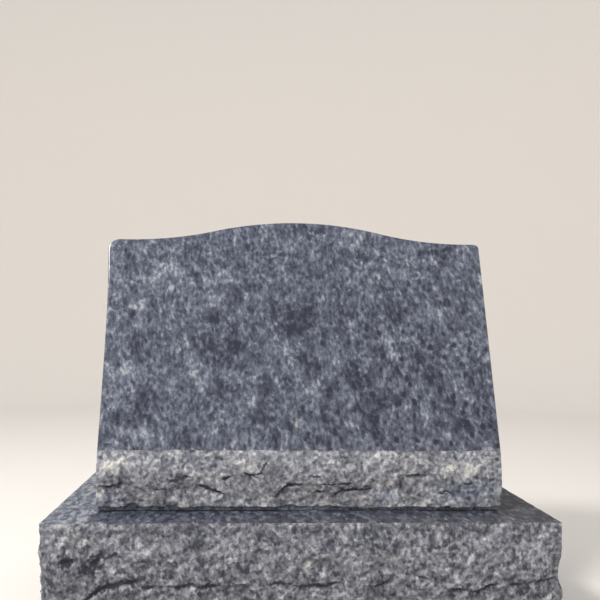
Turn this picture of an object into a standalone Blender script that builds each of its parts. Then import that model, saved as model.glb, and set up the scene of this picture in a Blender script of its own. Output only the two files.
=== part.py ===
"""A slant grave marker of blue-grey granite: a tablet with a polished leaning face and a serpentine
top, set on a base with a polished top. The tablet's nose and back and the base's four sides are
pitched: broken back from a sawn edge with a chisel, and left rough.

Lengths are in metres, +Z is up and the polished face looks towards -Y. The origin is on the ground
under the middle of the base.
"""

import math
from collections import namedtuple

import bpy
import numpy as np

# Tablet
TABLET_WIDTH = 0.610
TABLET_DEPTH = 0.254
NOSE_HEIGHT = 0.091
SHOULDER_HEIGHT = 0.420
FACE_SETBACK = 0.130
CROWN_RISE = 0.033
CROWN_SHOULDER = 0.031
LEFT_CORNER_RADIUS = 0.014
RIGHT_CORNER_RADIUS = 0.008

# Base, whose plan is the tablet's own with a margin left on each side
FRONT_MARGIN = 0.072
BACK_MARGIN = 0.054
SIDE_MARGIN = 0.065
BASE_HEIGHT = 0.152
CORNER_BATTER = 0.003
CORNER_WANDER = 0.002
CORNER_REACH = 0.030

# The tablet stands on the base with this clearance between the two stones
SETTING_GAP = 0.0003

# The hollow cut back under the nose, which leaves a dark line above the base
UNDERCUT_DEPTH = 0.006
UNDERCUT_HEIGHT = 0.008
UNDERCUT_SLOPE = 0.6

# Pitched surfaces: how fast they leave the sawn edge, the scoops that the chisel takes out, the
# steps that follow a bed in the stone, and how gently the proudest parts are rounded off
FLARE_LENGTH = 0.009
SCOOP_LENGTH = 0.062
SCOOP_HEIGHT = 0.040
SCOOP_DEPTH = 0.0065
LEDGE_LIP = 0.35
LEDGE_REACH = 0.016
CREST_SOFTNESS = 0.0015

# A pitched face stands proud of its sawn edge by at most this much. It swells to its full height at
# peak and keeps the share foot of it at the bottom; both are shares of the face's height or swell.
Pitch = namedtuple("Pitch", "proud peak foot seed")
NOSE_PITCH = Pitch(proud=0.013, peak=0.46, foot=0.55, seed=11)
BACK_PITCH = Pitch(proud=0.010, peak=0.10, foot=0.75, seed=33)
FRONT_PITCH = Pitch(proud=0.011, peak=0.50, foot=0.45, seed=51)
RIGHT_PITCH = Pitch(proud=0.010, peak=0.45, foot=0.45, seed=63)
REAR_PITCH = Pitch(proud=0.010, peak=0.45, foot=0.45, seed=73)
LEFT_PITCH = Pitch(proud=0.010, peak=0.45, foot=0.45, seed=83)

# A ledge follows a line of points, each a share of the face's length and of its height below the
# upper edge. Below the line the stone falls back by drop, in metres.
Ledge = namedtuple("Ledge", "line drop")
NOSE_LEDGES = (
    Ledge(((0.00, 0.44), (0.03, 0.48), (0.07, 0.46)), 0.0045),
    Ledge(((0.17, 0.51), (0.24, 0.43)), 0.0055),
    Ledge(((0.24, 0.58), (0.32, 0.75)), 0.0045),
    Ledge(((0.30, 0.47), (0.35, 0.35), (0.39, 0.43), (0.43, 0.16)), 0.0040),
    Ledge(((0.43, 0.82), (0.48, 0.57), (0.51, 0.57)), 0.0050),
    Ledge(((0.50, 0.57), (0.64, 0.57)), 0.0045),
    Ledge(((0.59, 0.70), (0.68, 0.67)), 0.0045),
    Ledge(((0.74, 0.42), (0.84, 0.44)), 0.0050),
    Ledge(((0.83, 0.75), (0.89, 0.73)), 0.0035),
)
FRONT_LEDGES = (
    Ledge(((0.03, 0.37), (0.07, 0.33)), 0.0050),
    Ledge(((0.08, 0.44), (0.12, 0.28)), 0.0060),
    Ledge(((0.08, 0.74), (0.13, 0.57), (0.17, 0.50), (0.24, 0.54), (0.34, 0.57)), 0.0070),
    Ledge(((0.31, 0.57), (0.44, 0.57), (0.50, 0.55), (0.58, 0.56)), 0.0055),
    Ledge(((0.61, 0.58), (0.65, 0.56), (0.68, 0.49)), 0.0050),
    Ledge(((0.77, 0.57), (0.83, 0.61), (0.86, 0.55), (0.92, 0.54)), 0.0060),
    Ledge(((0.90, 0.54), (0.95, 0.50), (1.00, 0.51)), 0.0050),
    Ledge(((0.23, 0.22), (0.30, 0.17), (0.38, 0.14)), 0.0030),
)
BACK_LEDGE_COUNT = 14
END_LEDGE_COUNT = 4
REAR_LEDGE_COUNT = 8
LEAST_LEDGE_DROP = 0.003
MOST_LEDGE_DROP = 0.006

# Spacing of the faceted surface's points
ALONG_STEP = 0.0125
DOWN_STEP = 0.0115
BACK_STEP = 0.022
CORNER_STEPS = 4

# Name, colour and roughness of the stone's two finishes, and their places in each stone's slots
GRANITE_POLISHED = ("granite_polished", (0.135, 0.145, 0.176), 0.14)
GRANITE_PITCHED = ("granite_pitched", (0.235, 0.235, 0.245), 0.85)
POLISHED, PITCHED = 0, 1
SHARP_EDGE = math.radians(35)

# Worked out from the sizes above
BASE_WIDTH = TABLET_WIDTH + 2 * SIDE_MARGIN
BASE_DEPTH = FRONT_MARGIN + TABLET_DEPTH + BACK_MARGIN
NOSE_Y = -BASE_DEPTH / 2 + FRONT_MARGIN
BACK_Y = NOSE_Y + TABLET_DEPTH
TABLET_FOOT = BASE_HEIGHT + SETTING_GAP


def clear_scene():
    """Removes every object that the scene starts with."""
    for obj in list(bpy.data.objects):
        bpy.data.objects.remove(obj)


def lattice(column, row, seed):
    """A fixed pseudo-random number from 0 to 1 for each whole-number point of the plane."""
    mixed = column.astype(np.int64) * 374761393 + row.astype(np.int64) * 668265263
    mixed = (mixed + seed * 974634777) & 0xFFFFFFFF
    mixed = ((mixed ^ (mixed >> 13)) * 1274126177) & 0xFFFFFFFF
    return ((mixed ^ (mixed >> 16)) & 0xFFFFFF) / float(0x1000000)


def smooth_step(value):
    """0 below 0, 1 above 1, and a smooth rise between."""
    share = np.clip(value, 0.0, 1.0)
    return share * share * (3 - 2 * share)


def soft_noise(x, y, seed):
    """Noise from -1 to 1: the lattice's numbers, joined by smooth steps."""
    column, row = np.floor(x), np.floor(y)
    across, down = smooth_step(x - column), smooth_step(y - row)
    near = lattice(column, row, seed) * (1 - across) + lattice(column + 1, row, seed) * across
    far = lattice(column, row + 1, seed) * (1 - across) + lattice(column + 1, row + 1, seed) * across
    return 2 * (near * (1 - down) + far * down) - 1


def scoops(x, y, seed):
    """The bed that a chisel leaves: each blow takes out a bowl round its own centre, and the surface
    at a point is the deepest of the bowls there. Bowls meet in sharp ridges. From 0 to about 1."""
    column, row = np.floor(x), np.floor(y)
    lowest = np.full(np.shape(x), np.inf)
    for step_x in (-1, 0, 1):
        for step_y in (-1, 0, 1):
            i, j = column + step_x, row + step_y
            away_x = x - i - lattice(i, j, seed)
            away_y = y - j - lattice(i, j, seed + 1)
            tilt = lattice(i, j, seed + 3) - 0.5
            bowl = away_x**2 + away_y**2 + 0.5 * lattice(i, j, seed + 2) + 0.5 * away_y * tilt
            lowest = np.minimum(lowest, bowl)
    return lowest


def ledge_relief(along, down, length, height, ledges):
    """The steps at the ledges: a lip above each line and a fall below it, both fading with distance
    and towards the line's two ends."""
    relief = np.zeros(np.shape(along))
    for ledge in ledges:
        line = np.array(ledge.line) * (length, height)
        share = (along - line[0, 0]) / (line[-1, 0] - line[0, 0])
        fade = np.sin(math.pi * np.clip(share, 0, 1)) ** 0.6
        below = down - np.interp(along, line[:, 0], line[:, 1])
        lip = LEDGE_LIP * np.exp(np.minimum(below, 0) / LEDGE_REACH)
        fall = -np.exp(-np.maximum(below, 0) / LEDGE_REACH)
        relief += ledge.drop * fade * np.where(below < 0, lip, fall)
    return relief


def scattered_ledges(count, seed):
    """Ledges spread over a face in even columns, with jittered places, lengths and slopes."""
    ledges = []
    for index in range(count):
        draw = lattice(np.full(5, index), np.arange(5), seed)
        middle = (index + draw[0]) / count
        half = (0.5 + 0.5 * draw[1]) / count
        level = 0.25 + 0.5 * draw[2]
        slope = 0.12 * (draw[3] - 0.5)
        start = (max(middle - half, 0.0), level - slope)
        end = (min(middle + half, 1.0), level + slope)
        drop = LEAST_LEDGE_DROP + (MOST_LEDGE_DROP - LEAST_LEDGE_DROP) * draw[4]
        ledges.append(Ledge((start, end), drop))
    return ledges


def pitched_relief(along, down, length, height, pitch, ledges):
    """How far a pitched face stands out of its sawn plane at a distance along it and down from its
    upper edge. Scoops and ledges break up its swell, and the proudest parts are rounded off."""
    share = down / height
    rise = np.sin(0.5 * math.pi * np.clip(share / pitch.peak, 0, 1))
    fall = 1 - (1 - pitch.foot) * smooth_step((share - pitch.peak) / (1 - pitch.peak))
    wander = soft_noise(along / (2 * SCOOP_LENGTH), down / SCOOP_LENGTH, pitch.seed + 20)
    bed = scoops(along / SCOOP_LENGTH, down / SCOOP_HEIGHT, pitch.seed) - 0.5
    relief = pitch.proud * rise * fall * (0.80 + 0.20 * wander) + SCOOP_DEPTH * bed
    relief += ledge_relief(along, down, length, height, ledges)
    relief = pitch.proud - CREST_SOFTNESS * np.logaddexp(0, (pitch.proud - relief) / CREST_SOFTNESS)
    return relief * (1 - np.exp(-down / FLARE_LENGTH))


def stepped(length, step):
    """Evenly spaced distances from 0 to length, about a step apart."""
    return np.linspace(0.0, length, max(int(round(length / step)), 1) + 1)


def loft(name, rings, finishes, cap_finish):
    """A closed solid through rings of points, an array of rings by points by three. finishes gives
    the material index of each face round a ring, and cap_finish that of the two flat end faces."""
    count, size = rings.shape[:2]
    faces, slots = [], []
    for ring in range(count - 1):
        for point in range(size):
            after = (point + 1) % size
            low, high = ring * size, (ring + 1) * size
            faces.append((low + point, low + after, high + after, high + point))
            slots.append(finishes[point])
    faces.append(tuple(reversed(range(size))))
    faces.append(tuple(range((count - 1) * size, count * size)))
    slots += [cap_finish, cap_finish]
    mesh = bpy.data.meshes.new(name)
    mesh.from_pydata(rings.reshape(-1, 3).tolist(), [], faces)
    mesh.polygons.foreach_set("material_index", slots)
    mesh.shade_smooth()
    mesh.set_sharp_from_angle(angle=SHARP_EDGE)
    return bpy.data.objects.new(name, mesh)


def granite(name, colour, roughness):
    """A Principled material in one of the stone's two finishes."""
    material = bpy.data.materials.new(name)
    material.use_nodes = True
    shader = material.node_tree.nodes["Principled BSDF"]
    shader.inputs["Base Color"].default_value = (*colour, 1.0)
    shader.inputs["Roughness"].default_value = roughness
    shader.inputs["Metallic"].default_value = 0.0
    return material


def crown_height(x):
    """Height of the serpentine above the shoulders at a distance from the middle: a round crown
    between two hollow curves of the same radius, all tangent where they meet."""
    span = TABLET_WIDTH / 2 - CROWN_SHOULDER
    turn = span / 2
    radius = (turn**2 + (CROWN_RISE / 2) ** 2) / CROWN_RISE
    out = np.minimum(np.abs(x), span)
    round_part = CROWN_RISE - radius + np.sqrt(radius**2 - np.minimum(out, turn) ** 2)
    hollow_part = radius - np.sqrt(radius**2 - np.minimum(span - out, turn) ** 2)
    return np.where(out < turn, round_part, hollow_part)


def corner_drop(x):
    """How far the rounded upper corners fall below the shoulder line at x."""
    radius = np.where(x < 0, LEFT_CORNER_RADIUS, RIGHT_CORNER_RADIUS)
    into = np.clip(np.abs(x) - (TABLET_WIDTH / 2 - radius), 0, radius)
    return radius - np.sqrt(radius**2 - into**2)


def tablet_stations():
    """Places across the tablet where its section is taken, closer together in the round corners."""
    half = TABLET_WIDTH / 2
    turns = np.sin(np.linspace(0, math.pi / 2, CORNER_STEPS + 1))
    left = -half + LEFT_CORNER_RADIUS * (1 - turns[::-1])
    right = half - RIGHT_CORNER_RADIUS * (1 - turns)
    middle = left[-1] + stepped(right[0] - left[-1], ALONG_STEP)
    return np.concatenate([left[:-1], middle, right[1:]])


def nose_outline(along):
    """The nose from its upper edge down, as distances down by stations, and how far it stands out of
    the plane of that edge. Its last rows run back into the hollow under it."""
    cut_start = NOSE_HEIGHT - UNDERCUT_HEIGHT
    cut_back = cut_start + UNDERCUT_SLOPE * UNDERCUT_HEIGHT
    rows = np.concatenate([stepped(cut_start, DOWN_STEP), [cut_back, NOSE_HEIGHT]])
    down, across = np.meshgrid(rows, along, indexing="ij")
    relief = pitched_relief(across, down, TABLET_WIDTH, NOSE_HEIGHT, NOSE_PITCH, NOSE_LEDGES)
    return down, np.where(down > cut_start, -UNDERCUT_DEPTH, relief)


def back_outline(along, top):
    """The tablet's back, likewise, from the top's edge down to the foot."""
    shares = stepped(1.0, BACK_STEP / SHOULDER_HEIGHT)
    down = shares[:, None] * top
    across = np.broadcast_to(along, down.shape)
    ledges = scattered_ledges(BACK_LEDGE_COUNT, BACK_PITCH.seed)
    full_height = SHOULDER_HEIGHT + CROWN_RISE
    return down, pitched_relief(across, down, TABLET_WIDTH, full_height, BACK_PITCH, ledges)


def make_tablet():
    """The upper stone: pitched nose, leaning face, serpentine top, sawn sides and pitched back. Each
    section across it runs up the nose, along the face and the top, and down the back."""
    x = tablet_stations()
    along = x + TABLET_WIDTH / 2
    top = SHOULDER_HEIGHT + crown_height(x) - corner_drop(x)
    lean = FACE_SETBACK / (SHOULDER_HEIGHT - NOSE_HEIGHT)
    nose_down, nose = nose_outline(along)
    back_down, back = back_outline(along, top)
    face_top = NOSE_Y + lean * (top - NOSE_HEIGHT)
    y = np.vstack([NOSE_Y - nose[::-1], face_top, BACK_Y + back])
    z = np.vstack([NOSE_HEIGHT - nose_down[::-1], top, top - back_down]) + TABLET_FOOT
    rings = np.stack([np.broadcast_to(x, y.shape), y, z], axis=-1).transpose(1, 0, 2)
    finishes = [PITCHED] * (len(nose) - 1) + [POLISHED] * 2
    finishes += [PITCHED] * (len(back) - 1) + [POLISHED]
    return loft("tablet", rings[::-1], finishes, POLISHED)


def corner_inset(down, corner):
    """How far a corner of the base lies inside the sawn corner above it: more towards the ground, and
    wandering a little, because it is broken and not sawn."""
    share = down / BASE_HEIGHT
    wander = soft_noise(down / SCOOP_HEIGHT, np.full(down.shape, corner), FRONT_PITCH.seed)
    return CORNER_BATTER * share + CORNER_WANDER * wander * smooth_step(down / SCOOP_HEIGHT)


def side_columns(start, tangent, length, down, insets, pitch, ledges):
    """Columns of points down one side of the base, an array of columns by rows by three. Towards its
    two ends the face's relief gives way to the corners, whose insets are given."""
    along, depth = np.meshgrid(stepped(length, ALONG_STEP), down, indexing="ij")
    relief = pitched_relief(along, depth, length, BASE_HEIGHT, pitch, ledges)
    inside = smooth_step(np.minimum(along, length - along) / CORNER_REACH)
    first = along < length / 2
    inset = np.where(first, insets[0], insets[1]) * (1 - inside)
    slide = along + np.where(first, inset, -inset)
    out = relief * inside - inset
    x = start[0] + slide * tangent[0] + out * tangent[1]
    y = start[1] + slide * tangent[1] - out * tangent[0]
    return np.stack([x, y, BASE_HEIGHT - depth], axis=-1)


def make_base():
    """The lower stone: flat polished top, flat underside and four pitched sides. Its rings run round
    it from the front left corner, and the lowest comes first."""
    down = stepped(BASE_HEIGHT, DOWN_STEP)
    half_x, half_y = BASE_WIDTH / 2, BASE_DEPTH / 2
    right_ledges = scattered_ledges(END_LEDGE_COUNT, RIGHT_PITCH.seed)
    rear_ledges = scattered_ledges(REAR_LEDGE_COUNT, REAR_PITCH.seed)
    left_ledges = scattered_ledges(END_LEDGE_COUNT, LEFT_PITCH.seed)
    sides = (
        ((-half_x, -half_y), (1, 0), BASE_WIDTH, FRONT_PITCH, FRONT_LEDGES),
        ((half_x, -half_y), (0, 1), BASE_DEPTH, RIGHT_PITCH, right_ledges),
        ((half_x, half_y), (-1, 0), BASE_WIDTH, REAR_PITCH, rear_ledges),
        ((-half_x, half_y), (0, -1), BASE_DEPTH, LEFT_PITCH, left_ledges),
    )
    insets = [corner_inset(down, corner) for corner in range(len(sides))]
    columns = []
    for number, (start, tangent, length, pitch, ledges) in enumerate(sides):
        ends = (insets[number], insets[(number + 1) % len(sides)])
        side = side_columns(start, tangent, length, down, ends, pitch, ledges)
        columns.append(side[:-1])
    rings = np.concatenate(columns).transpose(1, 0, 2)[::-1]
    return loft("base", rings, [PITCHED] * rings.shape[1], POLISHED)


def main():
    """Builds both stones in a collection of their own."""
    clear_scene()
    finishes = [granite(*GRANITE_POLISHED), granite(*GRANITE_PITCHED)]
    marker = bpy.data.collections.new("slant_grave_marker")
    bpy.context.scene.collection.children.link(marker)
    for stone in (make_tablet(), make_base()):
        for finish in finishes:
            stone.data.materials.append(finish)
        marker.objects.link(stone)


main()
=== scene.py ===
"""The looks of a slant grave marker of blue-grey granite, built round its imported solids.

The tablet and the base are one closed mesh each, finer than the solid that it stands for. Their
polished faces are flat or follow the serpentine. Their pitched faces carry the solids' own swell,
scoops and ledges, and over those the cracks and the finer break of the stone.
"""

import logging
import math
from dataclasses import dataclass, replace
from enum import Enum, IntEnum
from functools import partial, reduce
from itertools import product
from typing import Callable, Iterator, Sequence

import bpy
import numpy as np
from mathutils import Matrix, Vector


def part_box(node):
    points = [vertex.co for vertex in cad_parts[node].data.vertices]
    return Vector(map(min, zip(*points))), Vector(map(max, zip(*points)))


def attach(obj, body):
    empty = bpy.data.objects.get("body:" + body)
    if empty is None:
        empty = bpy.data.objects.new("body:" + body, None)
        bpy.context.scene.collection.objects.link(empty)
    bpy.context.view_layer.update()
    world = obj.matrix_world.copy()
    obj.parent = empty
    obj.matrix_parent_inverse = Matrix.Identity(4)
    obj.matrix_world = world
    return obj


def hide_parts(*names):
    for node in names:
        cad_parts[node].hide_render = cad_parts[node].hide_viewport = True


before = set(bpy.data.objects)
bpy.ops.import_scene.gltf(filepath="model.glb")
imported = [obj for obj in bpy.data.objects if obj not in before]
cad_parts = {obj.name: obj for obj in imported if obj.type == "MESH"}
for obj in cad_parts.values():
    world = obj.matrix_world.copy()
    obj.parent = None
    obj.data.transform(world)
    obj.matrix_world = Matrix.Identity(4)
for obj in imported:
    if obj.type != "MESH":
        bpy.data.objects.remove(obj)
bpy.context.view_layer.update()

LOG = logging.getLogger("slant_grave_marker")
BODY = "root"
MM = 0.001
SIDE_MARGIN = 0.065
FRONT_MARGIN = 0.072
REAR_MARGIN = 0.054
Vector3 = tuple[float, float, float]
Colour = tuple[float, float, float]
Span = tuple[float, float]
Line = tuple[tuple[float, float], ...]
Waves = tuple[tuple[float, float, int], ...]
Fields = dict["Field", np.ndarray]
Socket = bpy.types.NodeSocket


class Zone(IntEnum):
    """The finishes of a stone's surface, in the order of its material slots."""

    POLISHED = 0
    SAWN = 1
    PITCHED = 2


class Field(Enum):
    """What the meshes tell their materials about each point of the stone, from about -1 to 1."""

    # The tone carries the stone's own patches and also painted light and shade; the hollow field is painted
    # shade, the dark of the cracks and the undercut.
    TONE = "tone"
    TINT = "tint"
    PAINTED_SHADE = "hollow"
    SPECKLE = "speckle"


class Shade(Enum):
    """The ramps from the darkest grain of the granite to the lightest, as place and linear colour."""

    POLISHED = (
        (0.00, (0.026, 0.027, 0.041)),
        (0.25, (0.050, 0.055, 0.080)),
        (0.50, (0.088, 0.099, 0.132)),
        (0.72, (0.143, 0.161, 0.206)),
        (0.88, (0.205, 0.222, 0.266)),
        (1.00, (0.325, 0.330, 0.350)),
    )
    SAWN = (
        (0.00, (0.050, 0.051, 0.062)),
        (0.25, (0.095, 0.100, 0.120)),
        (0.50, (0.160, 0.168, 0.192)),
        (0.75, (0.250, 0.258, 0.280)),
        (1.00, (0.400, 0.395, 0.395)),
    )
    PITCHED = (
        (0.00, (0.042, 0.044, 0.060)),
        (0.25, (0.098, 0.103, 0.124)),
        (0.50, (0.185, 0.194, 0.222)),
        (0.72, (0.305, 0.314, 0.345)),
        (0.88, (0.420, 0.424, 0.448)),
        (1.00, (0.600, 0.592, 0.585)),
    )


class Run(Enum):
    """Which way the grains are drawn out, as cells per metre of the drawn-out grains, the crystals
    and the flecks."""

    UPRIGHT = ((200.0, 200.0, 105.0), (185.0, 185.0, 125.0), (480.0, 480.0, 360.0))
    EVEN = ((205.0, 205.0, 175.0), (190.0, 190.0, 165.0), (520.0, 520.0, 450.0))
    BACKWARD = ((165.0, 60.0, 165.0), (180.0, 58.0, 180.0), (480.0, 130.0, 480.0))


COLUMN_FACTOR = 374761393
ROW_FACTOR = 668265263
SEED_FACTOR = 974634777
LAST_FACTOR = 1274126177
FIRST_SHIFT = 13
LAST_SHIFT = 16
WORD = 0xFFFFFFFF
KEPT_BITS = 0xFFFFFF


def lattice(column: np.ndarray, row: np.ndarray, seed: int) -> np.ndarray:
    """Scrambles whole-number points of the plane into fixed pseudo-random numbers: their products
    with large odd numbers are added up, then shifted and multiplied again within 32 bits.

    Args:
        column: First whole numbers.
        row: Second whole numbers.
        seed: Chooses among the unlike patterns.

    Returns:
        Numbers from 0 to 1, one for each point.
    """
    mixed = column.astype(np.int64) * COLUMN_FACTOR + row.astype(np.int64) * ROW_FACTOR
    mixed = (mixed + seed * SEED_FACTOR) & WORD
    mixed = ((mixed ^ (mixed >> FIRST_SHIFT)) * LAST_FACTOR) & WORD
    return ((mixed ^ (mixed >> LAST_SHIFT)) & KEPT_BITS) / float(KEPT_BITS + 1)


def smooth_step(value: np.ndarray) -> np.ndarray:
    """0 below 0, 1 above 1, and three times the square less twice the cube between."""
    share = np.clip(value, 0.0, 1.0)
    return share * share * (3 - 2 * share)


def soft_noise(x: np.ndarray, y: np.ndarray, seed: int) -> np.ndarray:
    """The lattice's numbers, joined across each cell by smooth steps.

    Args:
        x: First coordinates, in cells.
        y: Second coordinates, in cells.
        seed: Chooses the pattern.

    Returns:
        Noise from -1 to 1.
    """
    column, row = np.floor(x), np.floor(y)
    across, down = smooth_step(x - column), smooth_step(y - row)
    near = lattice(column, row, seed) * (1 - across) + lattice(column + 1, row, seed) * across
    far = lattice(column, row + 1, seed) * (1 - across) + lattice(column + 1, row + 1, seed) * across
    return 2 * (near * (1 - down) + far * down) - 1


def line_noise(x: np.ndarray, seed: int) -> np.ndarray:
    """Noise from -1 to 1 along a line, in cells."""
    return soft_noise(x, np.zeros(np.shape(x)), seed)


def waves(x: np.ndarray, layers: Waves) -> np.ndarray:
    """Line noises added up, each given by its strength, the length of its cells and its seed."""
    return sum(strength * line_noise(x / length, seed) for strength, length, seed in layers)


def centres(x: np.ndarray, y: np.ndarray, seed: int) -> Iterator[tuple[np.ndarray, ...]]:
    """Goes through the nine cells round each place. Each cell has one centre, put anywhere in it by
    the lattice.

    Args:
        x: First coordinates, in cells.
        y: Second coordinates, in cells.
        seed: Chooses the pattern.

    Returns:
        For each of the nine, the cell's column and row, and how far the place lies from its centre
        along both axes.
    """
    column, row = np.floor(x), np.floor(y)
    for step_x, step_y in product((-1, 0, 1), repeat=2):
        i, j = column + step_x, row + step_y
        yield i, j, x - i - lattice(i, j, seed), y - j - lattice(i, j, seed + 1)


def scoops(x: np.ndarray, y: np.ndarray, seed: int) -> np.ndarray:
    """The bed left by a chisel: bowls round jittered centres, the square of the distance plus an
    offset and a tilt of each bowl's own, and at each point the lowest of them.

    Args:
        x: First coordinates, in cells.
        y: Second coordinates, in cells.
        seed: Chooses the pattern.

    Returns:
        Heights from 0 to about 1, low in the bowls and high on the ridges between them.
    """
    offset_share, tilt_share = 0.5, 0.5
    lowest = np.full(np.shape(x), np.inf)
    for i, j, away_x, away_y in centres(x, y, seed):
        tilt = lattice(i, j, seed + 3) - 0.5
        offset = offset_share * lattice(i, j, seed + 2)
        lowest = np.minimum(lowest, away_x**2 + away_y**2 + offset + tilt_share * away_y * tilt)
    return lowest


def crystal_faces(x: np.ndarray, y: np.ndarray, seed: int) -> np.ndarray:
    """Broken crystals: each point takes the plane of the nearest jittered centre, which has a level
    and a tilt of its own.

    Args:
        x: First coordinates, in crystals.
        y: Second coordinates, in crystals.
        seed: Chooses the pattern.

    Returns:
        Heights from about -1 to 1.
    """
    steepness = 1.6
    nearest = np.full(np.shape(x), np.inf)
    height = np.zeros(np.shape(x))
    for i, j, away_x, away_y in centres(x, y, seed):
        away = away_x**2 + away_y**2
        slope_x, slope_y = lattice(i, j, seed + 2) - 0.5, lattice(i, j, seed + 3) - 0.5
        plane = lattice(i, j, seed + 4) - 0.5 + steepness * (slope_x * away_x + slope_y * away_y)
        height = np.where(away < nearest, plane, height)
        nearest = np.minimum(nearest, away)
    return height


def to_line(u: np.ndarray, v: np.ndarray, points: np.ndarray) -> tuple[np.ndarray, np.ndarray]:
    """The distance from each place to the nearest point of a bent line, and how far along it that
    point lies, as a share of the line's length.

    Args:
        u: First coordinates of the places, in metres.
        v: Second coordinates.
        points: The line's corners, as points by two.

    Returns:
        The distances and the shares.
    """
    sizes = np.hypot(*np.diff(points, axis=0).T)
    passed = np.concatenate([[0.0], np.cumsum(sizes)])
    nearest = np.full(u.shape, np.inf)
    share = np.zeros(u.shape)
    for start, end, before, size in zip(points[:-1], points[1:], passed, sizes):
        run_u, run_v = (end - start) / size
        reach = np.clip((u - start[0]) * run_u + (v - start[1]) * run_v, 0, size)
        away = np.hypot(u - start[0] - reach * run_u, v - start[1] - reach * run_v)
        share = np.where(away < nearest, (before + reach) / passed[-1], share)
        nearest = np.minimum(nearest, away)
    return nearest, share


def softened(grid: np.ndarray, times: int) -> np.ndarray:
    """Averages each value with its neighbours, a quarter, a half and a quarter, along both axes.

    Args:
        grid: The values.
        times: How often.

    Returns:
        The averaged values.
    """
    for _ in range(times):
        wide = np.pad(grid, 1, mode="edge")
        grid = 0.25 * (wide[:-2, 1:-1] + 2 * wide[1:-1, 1:-1] + wide[2:, 1:-1])
        wide = np.pad(grid, 1, mode="edge")
        grid = 0.25 * (wide[1:-1, :-2] + 2 * wide[1:-1, 1:-1] + wide[1:-1, 2:])
    return grid


@dataclass(frozen=True)
class Places:
    """Places on a face, by their distances along it and below its upper edge, with the face's whole
    length and height, all in metres."""

    along: np.ndarray
    down: np.ndarray
    length: float
    height: float

    def scaled(self, line: Line) -> np.ndarray:
        """A line's points in metres, from shares of the face's length and height."""
        return np.array(line) * (self.length, self.height)


@dataclass(frozen=True)
class Layer:
    """A noise over a face: its strength, the length and height of its cells in metres, its seed and
    the level that counts as nought."""

    strength: float
    length: float
    height: float
    seed: int
    level: float = 0.0

    def over(
        self, along: np.ndarray, down: np.ndarray, seed: int = 0, noise: Callable = soft_noise
    ) -> np.ndarray:
        """The noise less its level, times its strength.

        Args:
            along: Distances along the face, in metres.
            down: Distances below its upper edge.
            seed: The face's own seed, added to the layer's.
            noise: The kind of noise.

        Returns:
            One value for each place.
        """
        cells = noise(along / self.length, down / self.height, seed + self.seed)
        return self.strength * (cells - self.level)


@dataclass(frozen=True)
class Ledge:
    """A step in a pitched face, along a line of points given as shares of its length and height,
    with its drop in millimetres."""

    line: Line
    drop: float
    lip_share: float = 0.35
    reach: float = 16 * MM
    taper: float = 0.6
    strength: float = 0.45
    stretches: Waves = ((0.95, 19 * MM, 6),)
    ragged: Waves = ((1.2 * MM, 9 * MM, 7), (0.6 * MM, 3 * MM, 8))

    def relief(self, at: Places) -> np.ndarray:
        """A lip above the line and a fall below it, each dying away exponentially with the distance
        from it, and both fading towards its ends as a power of a half sine. Slow noise breaks the
        ledge into stronger and weaker stretches.

        Args:
            at: The places.

        Returns:
            The ledge's part of the relief, in metres.
        """
        line = at.scaled(self.line)
        share = (at.along - line[0, 0]) / (line[-1, 0] - line[0, 0])
        fade = np.sin(math.pi * np.clip(share, 0, 1)) ** self.taper
        fade = fade * np.clip(self.strength + waves(at.along, self.stretches), 0, 1)
        below = at.down - np.interp(at.along, line[:, 0], line[:, 1]) - waves(at.along, self.ragged)
        lip = self.lip_share * np.exp(np.minimum(below, 0) / self.reach)
        fall = -np.exp(-np.maximum(below, 0) / self.reach)
        return self.drop * MM * fade * np.where(below < 0, lip, fall)


@dataclass(frozen=True)
class Crack:
    """A crevice along a line of points given as shares of its face's length and height, with its width
    and depth in millimetres. Its darkness is painted shade, a dark colour mixed in by the material."""

    line: Line
    width: float
    depth: float
    bends: Waves = ((0.9 * MM, 7 * MM, 17), (0.6 * MM, 2.5 * MM, 18))
    swelling: Layer = Layer(0.5, 5 * MM, 4 * MM, 19)
    grains: Layer = Layer(0.8, 2.6 * MM, 2.6 * MM, 20)
    grains_reach: float = 1.6
    steepness: float = 1.5
    blunt: float = 0.04

    def core(self, at: Places) -> np.ndarray:
        """How far a place is inside the crevice. The half width follows the square root of a half
        sine along the line, blunt at its ends, times a noise. A second noise bends the line, and a
        third breaks up its outline grain by grain.

        Args:
            at: The places.

        Returns:
            1 along the middle of the crevice and 0 outside it.
        """
        away, share = to_line(at.along, at.down + waves(at.along, self.bends), at.scaled(self.line))
        profile = np.sin(math.pi * np.clip(share, self.blunt, 1 - self.blunt)) ** 0.5
        half = 0.5 * self.width * MM * profile * (1 + self.swelling.over(at.along, at.down))
        broken = self.grains.over(at.along, at.down) * (away < self.grains_reach * half)
        return smooth_step(self.steepness * (1 - away / half) + broken)


@dataclass(frozen=True)
class Mark:
    """A soft patch, lighter or darker, bluer or warmer: some are the stone's own tone, others painted light
    and shade. Its place is in shares of its face's length and height, and its half sizes are in
    millimetres."""

    along: float
    down: float
    half_length: float
    half_height: float
    lift: float
    lean: float = 0.0
    tint: float = 0.0
    edge: tuple[Layer, Layer] = (Layer(0.55, 11 * MM, 13 * MM, 27), Layer(0.35, 5 * MM, 6 * MM, 28))
    falling: float = 1.25

    def weight(self, at: Places) -> np.ndarray:
        """A hill, leaning sideways by lean for each unit down: the squares of the two distances from
        its middle, in half sizes, are added up, and the hill falls off exponentially with a power
        of that sum. Noise breaks its edge.

        Args:
            at: The places.

        Returns:
            The patch's strength, from 0 to about 1.
        """
        v = at.down - self.down * at.height
        u = at.along - self.along * at.length - self.lean * v
        ragged = 1 + sum(layer.over(at.along, at.down) for layer in self.edge)
        round_sum = (u / (self.half_length * MM)) ** 2 + (v / (self.half_height * MM)) ** 2
        return np.exp(-((round_sum * ragged) ** self.falling))


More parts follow.
